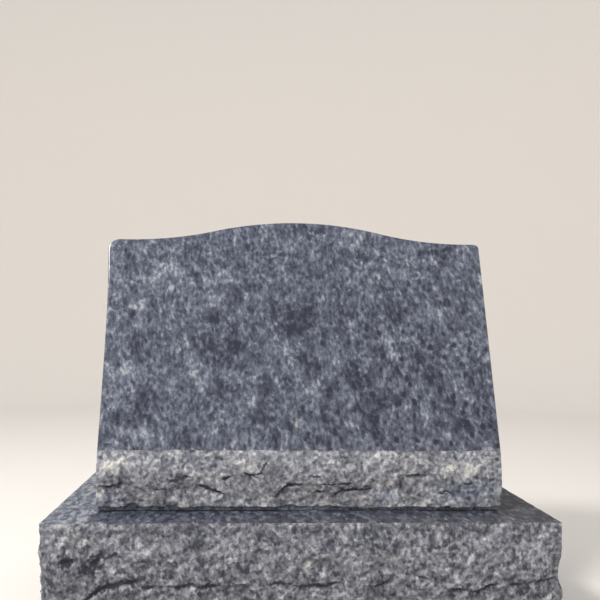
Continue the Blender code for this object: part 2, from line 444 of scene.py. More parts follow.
def marked(marks: Sequence[Mark], at: Places) -> Fields:
    """Adds up a face's marks.

    Args:
        marks: The marks.
        at: The places.

    Returns:
        The face's fields, of which all but the tone and the tint are nought.
    """
    fields = {field: np.zeros(np.shape(at.along)) for field in Field}
    for mark in marks:
        weight = mark.weight(at)
        fields[Field.TONE] = fields[Field.TONE] + mark.lift * weight
        fields[Field.TINT] = fields[Field.TINT] + mark.tint * weight
    return fields


@dataclass(frozen=True)
class Break:
    """The sizes of the fine break, the same on every pitched face. The seeds of its layers are added
    to each face's own."""

    bend: Layer = Layer(6 * MM, 27 * MM, 27 * MM, 40)
    slant: Span = (0.35, 0.25)
    scoops: tuple[Layer, Layer] = (
        Layer(4.4 * MM, 24 * MM, 15 * MM, 41, level=0.35),
        Layer(2.0 * MM, 10.5 * MM, 7.5 * MM, 45, level=0.35),
    )
    crystals: Layer = Layer(1.0 * MM, 5.2 * MM, 5.0 * MM, 49)
    grit: Layer = Layer(0.25 * MM, 2.4 * MM, 2.4 * MM, 54)
    edge: float = 2.5 * MM
    chips: Waves = ((1.0, 13 * MM, 60), (0.6, 4 * MM, 61))
    chip_depth: float = 0.9 * MM
    # smoothing, deep, shade and shade_edge size the painted shade in the hollows of the pitched faces and
    # the painted light on their crests
    smoothing: int = 18
    deep: float = 1.6 * MM
    shade: float = 0.14
    shade_edge: float = 7 * MM


BREAK = Break()


@dataclass(frozen=True)
class PitchedFace:
    """A face broken back from a sawn edge: how proud it stands, where it is proudest, how much of
    the swell is left at its foot, both as shares, and its ledges, cracks and marks."""

    length: float
    height: float
    proud: float
    peak: float
    foot: float
    seed: int
    ledges: tuple[Ledge, ...]
    cracks: tuple[Crack, ...]
    marks: tuple[Mark, ...] = ()
    fineness: float = 1.0
    flare: float = 9 * MM
    scoop_length: float = 62 * MM
    scoop_height: float = 40 * MM
    scoop_depth: float = 6.5 * MM
    wander_share: float = 0.20
    wander_seed: int = 20
    crest_softness: float = 1.5 * MM

    def places(self, along: np.ndarray, down: np.ndarray) -> Places:
        """Places on this face."""
        return Places(along, down, self.length, self.height)

    def swell(self, at: Places) -> np.ndarray:
        """The solid's own relief: a half sine up to the peak and a smooth fall to the foot, times a
        slow wander, plus scoops and ledges, rounded off below the proudest height by a soft minimum.

        Args:
            at: The places.

        Returns:
            Distances out of the sawn plane.
        """
        share = at.down / self.height
        rise = np.sin(0.5 * math.pi * np.clip(share / self.peak, 0, 1))
        fall = 1 - (1 - self.foot) * smooth_step((share - self.peak) / (1 - self.peak))
        across = at.along / self.scoop_length
        wander = soft_noise(across / 2, at.down / self.scoop_length, self.seed + self.wander_seed)
        wander = 1 - self.wander_share + self.wander_share * wander
        bed = scoops(across, at.down / self.scoop_height, self.seed) - 0.5
        relief = self.proud * rise * fall * wander + self.scoop_depth * bed
        for ledge in self.ledges:
            relief = relief + ledge.relief(at)
        room = (self.proud - relief) / self.crest_softness
        relief = self.proud - self.crest_softness * np.logaddexp(0, room)
        return relief * (1 - np.exp(-at.down / self.flare))

    def break_up(self, at: Places) -> np.ndarray:
        """The finer break: scoops of two sizes on slanting axes, single crystals and a fine noise.
        A slow noise bends the scoops' axes, and all is held back near the sawn edge.

        Args:
            at: The places.

        Returns:
            Distances to add to the swell.
        """
        bend = BREAK.bend.over(at.along, at.down, self.seed)
        u = at.along + bend + BREAK.slant[0] * at.down
        v = at.down - bend - BREAK.slant[1] * at.along
        relief = sum(layer.over(u, v, self.seed, scoops) for layer in BREAK.scoops)
        relief += BREAK.crystals.over(at.along, at.down, self.seed, crystal_faces)
        relief += BREAK.grit.over(at.along, at.down, self.seed)
        return self.fineness * relief * (1 - np.exp(-at.down / BREAK.edge))

    def crevices(self, at: Places) -> tuple[np.ndarray, np.ndarray]:
        """The cracks together: at each place the strongest counts.

        Args:
            at: The places.

        Returns:
            How far each place is inside a crack, and how deep the crack is there.
        """
        core, depth = np.zeros(np.shape(at.along)), np.zeros(np.shape(at.along))
        for crack in self.cracks:
            inside = crack.core(at)
            core = np.maximum(core, inside)
            depth = np.maximum(depth, crack.depth * MM * inside)
        return core, depth

    def dressed(self, at: Places) -> tuple[np.ndarray, np.ndarray, Fields]:
        """The swell, the fine part of the relief, and what the material needs to know: the cracks carry
        painted shade, and the tone is painted darker where the stone lies below the average round it and
        lighter on the crests, painted shade and light, but not along the sawn edge.

        Args:
            at: The places.

        Returns:
            Distances out of the sawn plane, distances to add to them, and the fields.
        """
        core, depth = self.crevices(at)
        swell, fine = self.swell(at), self.break_up(at)
        shape = swell + fine
        # Painted shade and light: the tone is darkened where the stone lies below its smoothed surface and
        # lightened where it stands above it
        painted_cavity_shade = (softened(shape, BREAK.smoothing) - shape) / BREAK.deep
        painted_cavity_shade = painted_cavity_shade * smooth_step(at.down / BREAK.shade_edge)
        fields = marked(self.marks, at)
        fields[Field.TONE] = fields[Field.TONE] - BREAK.shade * np.clip(painted_cavity_shade, -1, 1)
        fields[Field.PAINTED_SHADE] = core
        return swell, fine - depth, fields

    def chips(self, along: np.ndarray) -> np.ndarray:
        """How far small chips eat into the sawn edge along the face: two noises, where positive."""
        layers = tuple((strength, length, self.seed + seed) for strength, length, seed in BREAK.chips)
        return BREAK.chip_depth * np.clip(waves(along, layers), 0, None)


def plain_face(count: int, seed: int, **shape: float) -> PitchedFace:
    """A face that the photo doesn't show. It has ledges in even columns, with jittered places,
    lengths and slopes, and a crevice under the middle stretch of each.

    Args:
        count: How many ledges.
        seed: Chooses the face's noises and its ledges' places and sizes.
        **shape: The face's length, height and other values.

    Returns:
        The face.
    """
    highest, level_range, slope_range = 0.25, 0.5, 0.12
    least_drop, drop_range, most_short = 3, 3, 0.3
    least_width, width_range = 4.2, 3.5
    least_depth, depth_range = 1.2, 1.0
    ledges, cracks = [], []
    for index in range(count):
        place, size, level, slope, drop = lattice(np.full(5, index), np.arange(5), seed)
        middle, half = (index + place) / count, 0.5 * (1 + size) / count
        down, rise = highest + level_range * level, slope_range * (slope - 0.5)
        left = np.array((max(middle - half, 0.0), down - rise))
        right = np.array((min(middle + half, 1.0), down + rise))
        ledges.append(Ledge((tuple(left), tuple(right)), least_drop + drop_range * drop))
        from_left, from_right, size = lattice(np.full(3, index), np.arange(3), seed + 2)
        short = (right - left) * most_short
        line = tuple(left + short * from_left), tuple(right - short * from_right)
        cracks.append(Crack(line, least_width + width_range * size, least_depth + depth_range * size))
    return PitchedFace(proud=10 * MM, seed=seed, ledges=tuple(ledges), cracks=tuple(cracks), **shape)


def stepped(length: float, step: float) -> np.ndarray:
    """Evenly spaced distances from 0 to length, about a step apart."""
    return np.linspace(0.0, length, max(int(round(length / step)), 1) + 1)


def level_strips(height: np.ndarray, front: int) -> np.ndarray:
    """Fills a section whose points rise along its front and fall along its back with triangles, each
    from one flank to the other at about one height. The next point is always the lower one of the
    two that follow on the flanks, so the points come in the order of the heights reached so far.

    Args:
        height: The heights of the section's points.
        front: How many of them are on the front.

    Returns:
        The triangles by the numbers of their points, the same way round as the section.
    """
    flanks = height[1:front], height[front:-1][::-1]
    order = np.argsort(np.concatenate([np.maximum.accumulate(flank) for flank in flanks]), kind="stable")
    on_front = order < front - 1
    fore = np.cumsum(on_front) - on_front
    aft = len(height) - 1 - (np.arange(len(order)) - fore)
    return np.stack([fore, np.where(on_front, fore + 1, aft - 1), aft], axis=-1)


def ring_quads(count: int, size: int) -> np.ndarray:
    """The quads between neighbouring rings of points.

    Args:
        count: How many rings.
        size: How many points each has.

    Returns:
        The numbers of each quad's points.
    """
    point = np.arange(size)
    after = (point + 1) % size
    low = np.arange(count - 1)[:, None] * size
    quads = np.stack([low + point, low + after, low + size + after, low + size + point], axis=-1)
    return quads.reshape(-1, 4)


def linked(name: str, data: bpy.types.ID) -> bpy.types.Object:
    """Makes an object and puts it into the scene.

    Args:
        name: The object's name.
        data: Its mesh, lamp or camera.

    Returns:
        The object, at the origin.
    """
    piece = bpy.data.objects.new(name, data)
    bpy.context.scene.collection.objects.link(piece)
    return piece


def closed_loft(
    name: str, rings: np.ndarray, fields: Fields, zones: Sequence[Zone], caps: Sequence[Zone],
    ends: np.ndarray,
) -> bpy.types.Object:
    """Joins neighbouring rings of points with quads, closes both ends, and keeps the shading sharp
    wherever two finishes meet. The fields are nought on the first and the last ring, so that none
    runs on over the flat ends.

    Args:
        name: The piece's name.
        rings: Points, as rings by points by three, each ring the same way round.
        fields: Values for the materials, as rings by points.
        zones: The finish of each face round a ring.
        caps: The finishes of the first and the last end.
        ends: The faces that close a ring, by the numbers of its points.

    Returns:
        The object, at the origin.
    """
    count, size = rings.shape[:2]
    faces = ring_quads(count, size).tolist()
    faces += ends[:, ::-1].tolist() + (ends + (count - 1) * size).tolist()
    mesh = bpy.data.meshes.new(name)
    mesh.from_pydata(rings.reshape(-1, 3).tolist(), [], faces)
    around, closing = np.array(zones, np.int32), np.array(caps, np.int32)
    finish = np.concatenate([np.tile(around, count - 1), np.repeat(closing, len(ends))])
    mesh.polygons.foreach_set("material_index", finish)
    mesh.shade_smooth()
    mark_sharp(mesh, finish)
    for field, values in fields.items():
        kept = values.astype(np.float32)
        kept[[0, -1]] = 0
        attribute = mesh.attributes.new(field.value, "FLOAT", "POINT")
        attribute.data.foreach_set("value", kept.ravel())
    return linked(name, mesh)


def mark_sharp(mesh: bpy.types.Mesh, finish: np.ndarray) -> None:
    """Marks every edge between faces of unlike finish as sharp.

    Args:
        mesh: The mesh, whose faces are already made.
        finish: One number for each face.
    """
    loop_edge = np.empty(len(mesh.loops), np.int32)
    mesh.loops.foreach_get("edge_index", loop_edge)
    loop_count = np.empty(len(mesh.polygons), np.int32)
    mesh.polygons.foreach_get("loop_total", loop_count)
    loop_finish = np.repeat(finish, loop_count)
    lowest = np.full(len(mesh.edges), np.iinfo(np.int32).max, np.int32)
    highest = np.full(len(mesh.edges), -1, np.int32)
    np.minimum.at(lowest, loop_edge, loop_finish)
    np.maximum.at(highest, loop_edge, loop_finish)
    sharp = mesh.attributes.new("sharp_edge", "BOOLEAN", "EDGE")
    sharp.data.foreach_set("value", lowest != highest)


class Graph:
    """A material's node tree, with short calls for the nodes that the granite needs."""

    def __init__(self, name: str) -> None:
        """Makes the material and finds its shader.

        Args:
            name: The material's name.
        """
        self.material = bpy.data.materials.new(name)
        self.material.use_nodes = True
        self.tree = self.material.node_tree
        self.shader = self.tree.nodes["Principled BSDF"]
        self.place = self.tree.nodes.new("ShaderNodeTexCoord").outputs["Object"]

    def give(self, node: bpy.types.Node, inputs: dict) -> None:
        """Joins a node's inputs to sockets, or sets them to plain values.

        Args:
            node: The node.
            inputs: A value or a socket for each named or numbered input.
        """
        for key, value in inputs.items():
            if isinstance(value, Socket):
                self.tree.links.new(value, node.inputs[key])
            else:
                node.inputs[key].default_value = value

    def add(self, kind: str, inputs: dict, output: str | int = 0, **settings: object) -> Socket:
        """Adds a node, sets it up and joins it.

        Args:
            kind: The node's type.
            inputs: A value or a socket for each named or numbered input.
            output: The output that is wanted.
            **settings: The node's own properties.

        Returns:
            That output's socket.
        """
        node = self.tree.nodes.new(kind)
        for key, value in settings.items():
            setattr(node, key, value)
        self.give(node, inputs)
        return node.outputs[output]

    def math(self, operation: str, first: object, second: object = 0.0) -> Socket:
        """Adds a sum, product or other operation on two numbers or sockets."""
        return self.add("ShaderNodeMath", {0: first, 1: second}, operation=operation)

    def field(self, field: Field) -> Socket:
        """Reads one of the mesh's own fields."""
        return self.add("ShaderNodeAttribute", {}, "Fac", attribute_name=field.value)

    def mapped(self, value: Socket, span: Span, result: Span) -> Socket:
        """Maps a value from one span to another, and keeps it within that."""
        ends = dict(zip(("From Min", "From Max", "To Min", "To Max"), (*span, *result)))
        return self.add("ShaderNodeMapRange", {"Value": value, **ends})

    def beyond(self, span: Span, most: float, both: bool = False) -> Socket:
        """Grows from 0 to most while X passes from the span's first value to its second.

        Args:
            span: The two values, in metres.
            most: The value beyond the span.
            both: Whether the distance from the middle is taken instead of X.

        Returns:
            The value's socket.
        """
        x = self.add("ShaderNodeSeparateXYZ", {"Vector": self.place}, "X")
        if both:
            x = self.math("ABSOLUTE", x)
        return self.mapped(x, span, (0.0, most))

    def stretched(self, vector: Socket, per_metre: Vector3, tilt: float = 0.0) -> Socket:
        """Turns a position about Y and scales it.

        Args:
            vector: The position.
            per_metre: Pattern cells per metre along X, Y and Z.
            tilt: Degrees.

        Returns:
            The pattern's own coordinates.
        """
        turn = (0.0, math.radians(tilt), 0.0)
        turned = self.add("ShaderNodeMapping", {"Vector": vector, "Rotation": turn})
        return self.add("ShaderNodeMapping", {"Vector": turned, "Scale": per_metre})

    def noise(self, vector: Socket, detail: float = 2.0, roughness: float = 0.5) -> Socket:
        """Smooth noise from 0 to 1 at unit scale, with a number of octaves and their falling-off."""
        inputs = {"Vector": vector, "Scale": 1.0, "Detail": detail, "Roughness": roughness}
        return self.add("ShaderNodeTexNoise", inputs, "Fac")

    def cells(self, vector: Socket, channel: str) -> Socket:
        """A level from 0 to 1 for each cell round jittered centres, one channel of its colour."""
        colour = self.add("ShaderNodeTexVoronoi", {"Vector": vector, "Scale": 1.0}, "Color")
        return self.add("ShaderNodeSeparateColor", {"Color": colour}, channel)

    def about_zero(self, value: Socket, gain: float) -> Socket:
        """The value less a half, times a gain."""
        return self.math("MULTIPLY", self.math("SUBTRACT", value, 0.5), gain)

    def total(self, values: Sequence[Socket]) -> Socket:
        """The sum of all the values."""
        return reduce(partial(self.math, "ADD"), values)

    def ramp(self, value: Socket, stops: Sequence[tuple[float, Colour]]) -> Socket:
        """A colour for each value, read off a ramp.

        Args:
            value: A number from 0 to 1.
            stops: Places and linear colours.

        Returns:
            The colour's socket.
        """
        socket = self.add("ShaderNodeValToRGB", {"Fac": value}, "Color")
        elements = socket.node.color_ramp.elements
        while len(elements) < len(stops):
            elements.new(0.5)
        for element, (place, colour) in zip(elements, stops):
            element.position = place
            element.color = (*colour, 1.0)
        return socket

    def mixed(self, blend: str, share: Socket, colour: Socket, other: Colour) -> Socket:
        """Blends a plain colour into another, as far as a share goes.

        Args:
            blend: MIX to replace it and MULTIPLY to tint it.
            share: 0 for none of the plain colour, 1 for all of it.
            colour: The colour that varies.
            other: The plain colour.

        Returns:
            The blended colour's socket.
        """
        factor, first, second, result = 0, 6, 7, 2
        inputs = {factor: share, first: colour, second: (*other, 1.0)}
        return self.add("ShaderNodeMix", inputs, result, data_type="RGBA", blend_type=blend)


@dataclass(frozen=True)
class GraniteFinish:
    """One finish of the granite. Each part of its pattern has a strength, and most have cells per
    metre of their own, called runs. The roughness lies between the two values of gloss. Past a span
    of X the stone can be painted paler on the left, a painted reflection of the sky, and deeper on the
    right, painted shade, and turn duller on both sides; over another span its tint is painted from
    cooler on the left to warmer on the right, a painted reflection."""

    name: str
    shade: Shade
    run: Run
    middle: float
    cloud: float
    blotch: float
    streak: float
    crystal: float
    fleck: float
    vein: float
    spot: float
    gloss: Span
    specular: float
    cloud_run: Vector3 = (14.0, 14.0, 10.0)
    blotch_run: Vector3 = (68.0, 68.0, 42.0)
    vein_run: Vector3 = (55.0, 55.0, 14.0)
    vein_thinness: float = 18.0
    spot_run: Vector3 = (84.0, 84.0, 72.0)
    spot_radius: float = 0.33
    spot_edge: float = 4.5
    least_dotted: float = 0.22
    sheen_run: Vector3 = (260.0, 260.0, 150.0)
    sheen_span: Span = (0.3, 0.7)
    slant: float = 8.0
    vein_slant: float = 7.0
    grain_slant: float = 6.0
    drift: Span = (11.0, 14 * MM)
    waver_scale: float = 210.0
    waver: float = 2.4 * MM
    bump: float = 0.0
    bump_height: float = 0.0
    facet: float = 0.45
    facet_run: Vector3 = (330.0, 330.0, 300.0)
    sugar: float = 1.4
    sugar_run: Vector3 = (900.0, 900.0, 900.0)
    cool_colour: Colour = (0.80, 0.93, 1.12)
    warm_colour: Colour = (1.06, 1.0, 0.88)
    # The colour of the painted shade in the cracks and under the nose.
    crevice: Colour = (0.029, 0.030, 0.046)
    # pale and deep: a painted reflection of the sky that lightens the left, and painted shade that darkens
    # the right.
    pale: float = 0.0
    painted_reflection_span: Span = (-0.303, -0.309)
    deep: float = 0.0
    painted_shade_span: Span = (0.303, 0.309)
    # warm: a painted reflection tint, cooler on the left where the sky is mirrored, and warmer towards the
    # right.
    warm: float = 0.0
    painted_tint_span: Span = (-0.32, 0.30)
    dull: float = 0.0
    dull_span: Span = (0.27, 0.31)

    def material(self) -> bpy.types.Material:
        """Builds the finish's material on Object coordinates and the mesh's fields.

        Returns:
            The material.
        """
        graph = Graph(self.name)
        bent = self.bent_place(graph)
        tint = graph.field(Field.TINT)
        # Painted reflection: the tint is moved from cool on the left to warm on the right.
        if self.warm > 0:
            tint = graph.math("SUBTRACT", tint, graph.beyond(self.painted_tint_span, self.warm))
        cool = graph.math("MAXIMUM", tint, 0.0)
        warm = graph.math("MAXIMUM", graph.math("MULTIPLY", tint, -1.0), 0.0)
        colour = graph.ramp(self.grain(graph, bent), self.shade.value)
        colour = graph.mixed("MULTIPLY", cool, colour, self.cool_colour)
        colour = graph.mixed("MULTIPLY", warm, colour, self.warm_colour)
        # Painted shade: the cracks and the undercut are mixed towards the dark crevice colour.
        colour = graph.mixed("MIX", graph.field(Field.PAINTED_SHADE), colour, self.crevice)
        sheen = graph.noise(graph.stretched(bent, self.sheen_run))
        rough = graph.mapped(sheen, self.sheen_span, self.gloss)
        if self.dull > 0:
            rough = graph.math("ADD", rough, graph.beyond(self.dull_span, self.dull, both=True))
        looks = {"Base Color": colour, "Roughness": rough, "Specular IOR Level": self.specular}
        if self.bump > 0:
            looks["Normal"] = self.roughened(graph)
        graph.give(graph.shader, looks)
        return graph.material

    def bent_place(self, graph: Graph) -> Socket:
        """The position, pushed about by a wide and a narrow noise so that the grain's run wavers.

        Args:
            graph: The material's graph.

        Returns:
            The bent position.
        """
        bent = graph.place
        for scale, reach in (self.drift, (self.waver_scale, self.waver)):
            noise = {"Vector": graph.place, "Scale": scale, "Detail": 1.0, "Roughness": 0.5}
            drift = graph.add("ShaderNodeTexNoise", noise, "Color")
            centred = graph.add("ShaderNodeVectorMath", {0: drift, 1: (0.5, 0.5, 0.5)}, operation="SUBTRACT")
            scaled = graph.add("ShaderNodeVectorMath", {0: centred, "Scale": reach}, operation="SCALE")
            bent = graph.add("ShaderNodeVectorMath", {0: bent, 1: scaled}, operation="ADD")
        return bent

    def vein_line(self, graph: Graph, bent: Socket) -> Socket:
        """Thin lines where a drawn-out noise passes through its middle value.

        Args:
            graph: The material's graph.
            bent: The bent position.

        Returns:
            1 along the lines and 0 beside them.
        """
        noise = graph.noise(graph.stretched(bent, self.vein_run, self.vein_slant))
        away = graph.math("ABSOLUTE", graph.about_zero(noise, 1.0))
        line = graph.math("SUBTRACT", 1.0, graph.math("MULTIPLY", away, self.vein_thinness))
        return graph.math("MAXIMUM", line, 0.0)

    def spots(self, graph: Graph, bent: Socket) -> Socket:
        """Dark soft discs round jittered centres, stronger where the mesh says speckled.

        Args:
            graph: The material's graph.
            bent: The bent position.

        Returns:
            What they add to the lightness, 0 or less.
        """
        seat = graph.stretched(bent, self.spot_run, self.grain_slant)
        distance = graph.add("ShaderNodeTexVoronoi", {"Vector": seat, "Scale": 1.0}, "Distance")
        disc = graph.math("MULTIPLY", graph.math("SUBTRACT", self.spot_radius, distance), self.spot_edge)
        spot = graph.math("MULTIPLY", graph.add("ShaderNodeClamp", {"Value": disc}), -self.spot)
        return graph.math("MULTIPLY", spot, graph.math("ADD", graph.field(Field.SPECKLE), self.least_dotted))

    def grain(self, graph: Graph, bent: Socket) -> Socket:
        """The lightness of the stone: clouds, blotches, drawn-out grains, crystals, fine flecks, pale
        veins and dark spots, with the mesh's own marks and its painted shade and light in hollows and on
        crests, and the painted reflection and shade past the spans of X, summed about the middle.

        Args:
            graph: The material's graph.
            bent: The bent position.

        Returns:
            A value, 0 for the darkest grain and 1 for the lightest.
        """
        drawn_out, crystals, flecks = self.run.value
        cloud = graph.noise(graph.stretched(bent, self.cloud_run))
        blotch = graph.noise(graph.stretched(bent, self.blotch_run, self.slant), detail=1.5)
        grains = graph.stretched(bent, drawn_out, self.grain_slant)
        streak = graph.noise(grains, detail=1.5, roughness=0.45)
        crystal = graph.cells(graph.stretched(bent, crystals, self.grain_slant), "Red")
        fleck = graph.noise(graph.stretched(graph.place, flecks), detail=1.0)
        parts = [
            graph.about_zero(cloud, self.cloud),
            graph.about_zero(blotch, self.blotch),
            graph.about_zero(streak, self.streak),
            graph.about_zero(crystal, self.crystal),
            graph.about_zero(fleck, self.fleck),
            graph.math("MULTIPLY", self.vein_line(graph, bent), self.vein),
            self.spots(graph, bent),
            graph.field(Field.TONE),
        ]
        # Painted reflection and shade: paler past the left span, darker past the right one.
        if self.pale > 0:
            parts.append(graph.beyond(self.painted_reflection_span, self.pale))
            parts.append(graph.beyond(self.painted_shade_span, -self.deep))
        return graph.math("ADD", graph.total(parts), self.middle)

    def roughened(self, graph: Graph) -> Socket:
        """A bump of crystal faces and fine noise, finer than the mesh can hold.

        Args:
            graph: The material's graph.

        Returns:
            The bumped normal.
        """
        facet = graph.cells(graph.stretched(graph.place, self.facet_run), "Green")
        sugar = graph.noise(graph.stretched(graph.place, self.sugar_run), roughness=0.6)
        height = graph.total([graph.about_zero(facet, self.facet), graph.about_zero(sugar, self.sugar)])
        inputs = {"Height": height, "Strength": self.bump, "Distance": self.bump_height}
        return graph.add("ShaderNodeBump", inputs, "Normal")


FACE_GRANITE = GraniteFinish(
    name="granite_face", shade=Shade.POLISHED, run=Run.UPRIGHT, middle=0.45, cloud=0.5, blotch=0.95,
    streak=1.15, crystal=0.32, fleck=0.36, vein=0.22, spot=0.62, gloss=(0.10, 0.18), specular=0.40,
    spot_run=(66.0, 66.0, 46.0),
)
# The base's polished top: its middle is set darker than the face's, painted shade for the dimmer level top;
# pale is a painted reflection of the sky on the left, deep painted shade on the right, and warm a painted
# reflection tint.
MARGIN_GRANITE = GraniteFinish(
    name="granite_margin", shade=Shade.POLISHED, run=Run.BACKWARD, middle=0.32, cloud=0.35, blotch=0.7,
    streak=1.15, crystal=0.55, fleck=1.0, vein=0.04, spot=0.15, gloss=(0.30, 0.38), specular=0.30,
    pale=0.44, deep=0.14, warm=0.9, dull=0.25,
)
SAWN_GRANITE = GraniteFinish(
    name="granite_sawn", shade=Shade.SAWN, run=Run.UPRIGHT, middle=0.5, cloud=0.4, blotch=0.6, streak=1.1,
    crystal=0.25, fleck=0.3, vein=0.10, spot=0.2, gloss=(0.45, 0.60), specular=0.40, bump=0.25,
    bump_height=0.3 * MM,
)
# The nose and the base's sides are the same pitched stone: the nose's lighter middle is painted light, where
# it catches more light than the base below.
NOSE_GRANITE = GraniteFinish(
    name="granite_nose", shade=Shade.PITCHED, run=Run.EVEN, middle=0.54, cloud=0.5, blotch=1.15,
    streak=1.0, crystal=0.36, fleck=0.26, vein=0.04, spot=0.8, gloss=(0.70, 0.92), specular=0.35,
    blotch_run=(105.0, 105.0, 48.0), slant=-50.0, waver=1.0 * MM, bump=0.35, bump_height=0.7 * MM,
    crevice=(0.042, 0.043, 0.062),
)
# The sides' darker middle is painted shade against the nose's.
SIDE_GRANITE = replace(
    NOSE_GRANITE, name="granite_sides", middle=0.43, crystal=0.42, fleck=0.38, vein=0.05, spot=1.3,
    blotch_run=(95.0, 95.0, 55.0), crevice=GraniteFinish.crevice,
)
TABLET_FINISHES = {Zone.POLISHED: FACE_GRANITE, Zone.SAWN: SAWN_GRANITE, Zone.PITCHED: NOSE_GRANITE}
BASE_FINISHES = {Zone.POLISHED: MARGIN_GRANITE, Zone.SAWN: SAWN_GRANITE, Zone.PITCHED: SIDE_GRANITE}

NOSE_LEDGES = (
    Ledge(((0.00, 0.55), (0.03, 0.58), (0.07, 0.50)), 3.0),
    Ledge(((0.17, 0.47), (0.24, 0.40)), 5.5),
    Ledge(((0.24, 0.55), (0.32, 0.71)), 3.4),
    Ledge(((0.30, 0.44), (0.35, 0.36), (0.39, 0.40), (0.43, 0.16)), 4.0),
    Ledge(((0.43, 0.76), (0.47, 0.55), (0.51, 0.54)), 3.6),
    Ledge(((0.50, 0.54), (0.64, 0.54)), 3.0),
    Ledge(((0.57, 0.74), (0.61, 0.65), (0.68, 0.62)), 3.2),
    Ledge(((0.74, 0.39), (0.84, 0.41)), 3.6),
    Ledge(((0.83, 0.71), (0.89, 0.67)), 3.5),
)
NOSE_CRACKS = (
    Crack(((0.022, 0.585), (0.034, 0.575), (0.048, 0.56)), 9.0, 0.8),
    Crack(((0.055, 0.42), (0.058, 0.50), (0.052, 0.60)), 9.0, 0.7),
    Crack(((0.138, 0.63), (0.170, 0.63)), 4.3, 0.6),
    Crack(((0.176, 0.51), (0.200, 0.465), (0.228, 0.41)), 8.5, 1.4),
    Crack(((0.243, 0.56), (0.268, 0.59), (0.290, 0.66), (0.311, 0.70)), 7.2, 1.4),
    Crack(((0.212, 0.58), (0.218, 0.75)), 4.3, 0.6),
    Crack(((0.304, 0.46), (0.332, 0.39)), 6.8, 0.6),
    Crack(((0.358, 0.36), (0.378, 0.385), (0.392, 0.39), (0.402, 0.32), (0.418, 0.15)), 5.8, 1.2),
    Crack(((0.435, 0.74), (0.454, 0.62), (0.469, 0.54), (0.504, 0.54)), 6.4, 1.3),
    Crack(((0.520, 0.40), (0.544, 0.42)), 5.4, 0.6),
    Crack(((0.545, 0.55), (0.584, 0.55)), 6.2, 0.8),
    Crack(((0.590, 0.54), (0.624, 0.53)), 6.4, 0.8),
    Crack(((0.526, 0.68), (0.556, 0.68)), 6.6, 0.7),
    Crack(((0.578, 0.76), (0.590, 0.68), (0.602, 0.64), (0.634, 0.635), (0.672, 0.61)), 6.4, 1.3),
    Crack(((0.762, 0.39), (0.812, 0.39)), 5.6, 1.0),
    Crack(((0.838, 0.70), (0.870, 0.67)), 5.6, 0.8),
    Crack(((0.895, 0.53), (0.930, 0.53)), 4.3, 0.6),
)
NOSE_MARKS = (
    # Painted light: a full-width band lightens the nose's lower half against the shade under its swell.
    Mark(0.50, 1.00, 1500, 32, lift=0.12),
    # Painted highlights: the warm light patches on the upper nose, here and at 0.88, 0.36, 0.59 and 0.77
    # along, stand for spots where the light fell.
    Mark(0.055, 0.26, 26, 12, lift=0.12, tint=-0.2),
    Mark(0.041, 0.21, 8, 8, lift=0.45, lean=-1.3, tint=-0.4),
    # Painted light: a full-width band lightens the nose's upper edge, which faces the light.
    Mark(0.50, 0.045, 1500, 3.5, lift=0.13),
    Mark(0.066, 0.32, 7, 8, lift=-0.34),
    # Painted shade: a dark patch low on the left stands for a shadowed hollow.
    Mark(0.045, 0.48, 24, 7, lift=-0.16),
    Mark(0.88, 0.30, 45, 10, lift=0.14, tint=-0.4),
    Mark(0.36, 0.20, 26, 10, lift=0.12, tint=-0.3),
    Mark(0.59, 0.25, 16, 9, lift=0.10, tint=-0.3),
    Mark(0.77, 0.14, 22, 13, lift=0.08, tint=-0.3),
    Mark(0.91, 0.68, 46, 18, lift=-0.05, tint=0.6),
    Mark(0.04, 0.80, 14, 9, lift=-0.06, tint=0.45),
    Mark(0.285, 0.76, 16, 11, lift=0.02, tint=0.25),
    Mark(0.71, 0.73, 15, 9, lift=0.02, tint=0.6),
    Mark(0.023, 0.08, 15, 7, lift=-0.12),
    Mark(0.126, 0.23, 42, 7, lift=0.17),
    Mark(0.114, 0.61, 34, 14, lift=-0.13),
    Mark(0.229, 0.66, 18, 9, lift=-0.10),
    Mark(0.268, 0.23, 15, 8, lift=-0.12),
    Mark(0.346, 0.08, 30, 7, lift=-0.12),
    Mark(0.358, 0.36, 17, 12, lift=-0.17),
    Mark(0.358, 0.82, 42, 9, lift=-0.13),
    Mark(0.469, 0.43, 15, 12, lift=0.11),
    Mark(0.615, 0.45, 14, 44, lift=0.08),
    Mark(0.652, 0.30, 17, 12, lift=-0.12),
    Mark(0.816, 0.16, 29, 13, lift=-0.17),
    Mark(0.889, 0.82, 30, 8, lift=0.15),
    Mark(0.929, 0.23, 20, 8, lift=0.11),
)
FRONT_LEDGES = (
    Ledge(((0.03, 0.35), (0.07, 0.31)), 3.5),
    Ledge(((0.08, 0.41), (0.12, 0.27)), 4.0),
    Ledge(((0.08, 0.72), (0.115, 0.57), (0.17, 0.50), (0.22, 0.53)), 5.5),
    Ledge(((0.18, 0.57), (0.24, 0.56), (0.34, 0.56)), 2.6),
    Ledge(((0.31, 0.56), (0.44, 0.56), (0.50, 0.56), (0.58, 0.55)), 4.0),
    Ledge(((0.61, 0.59), (0.65, 0.56), (0.68, 0.49)), 5.0),
    Ledge(((0.77, 0.60), (0.83, 0.63), (0.86, 0.57), (0.92, 0.56)), 6.0),
    Ledge(((0.90, 0.56), (0.95, 0.53), (1.00, 0.53)), 5.0),
)
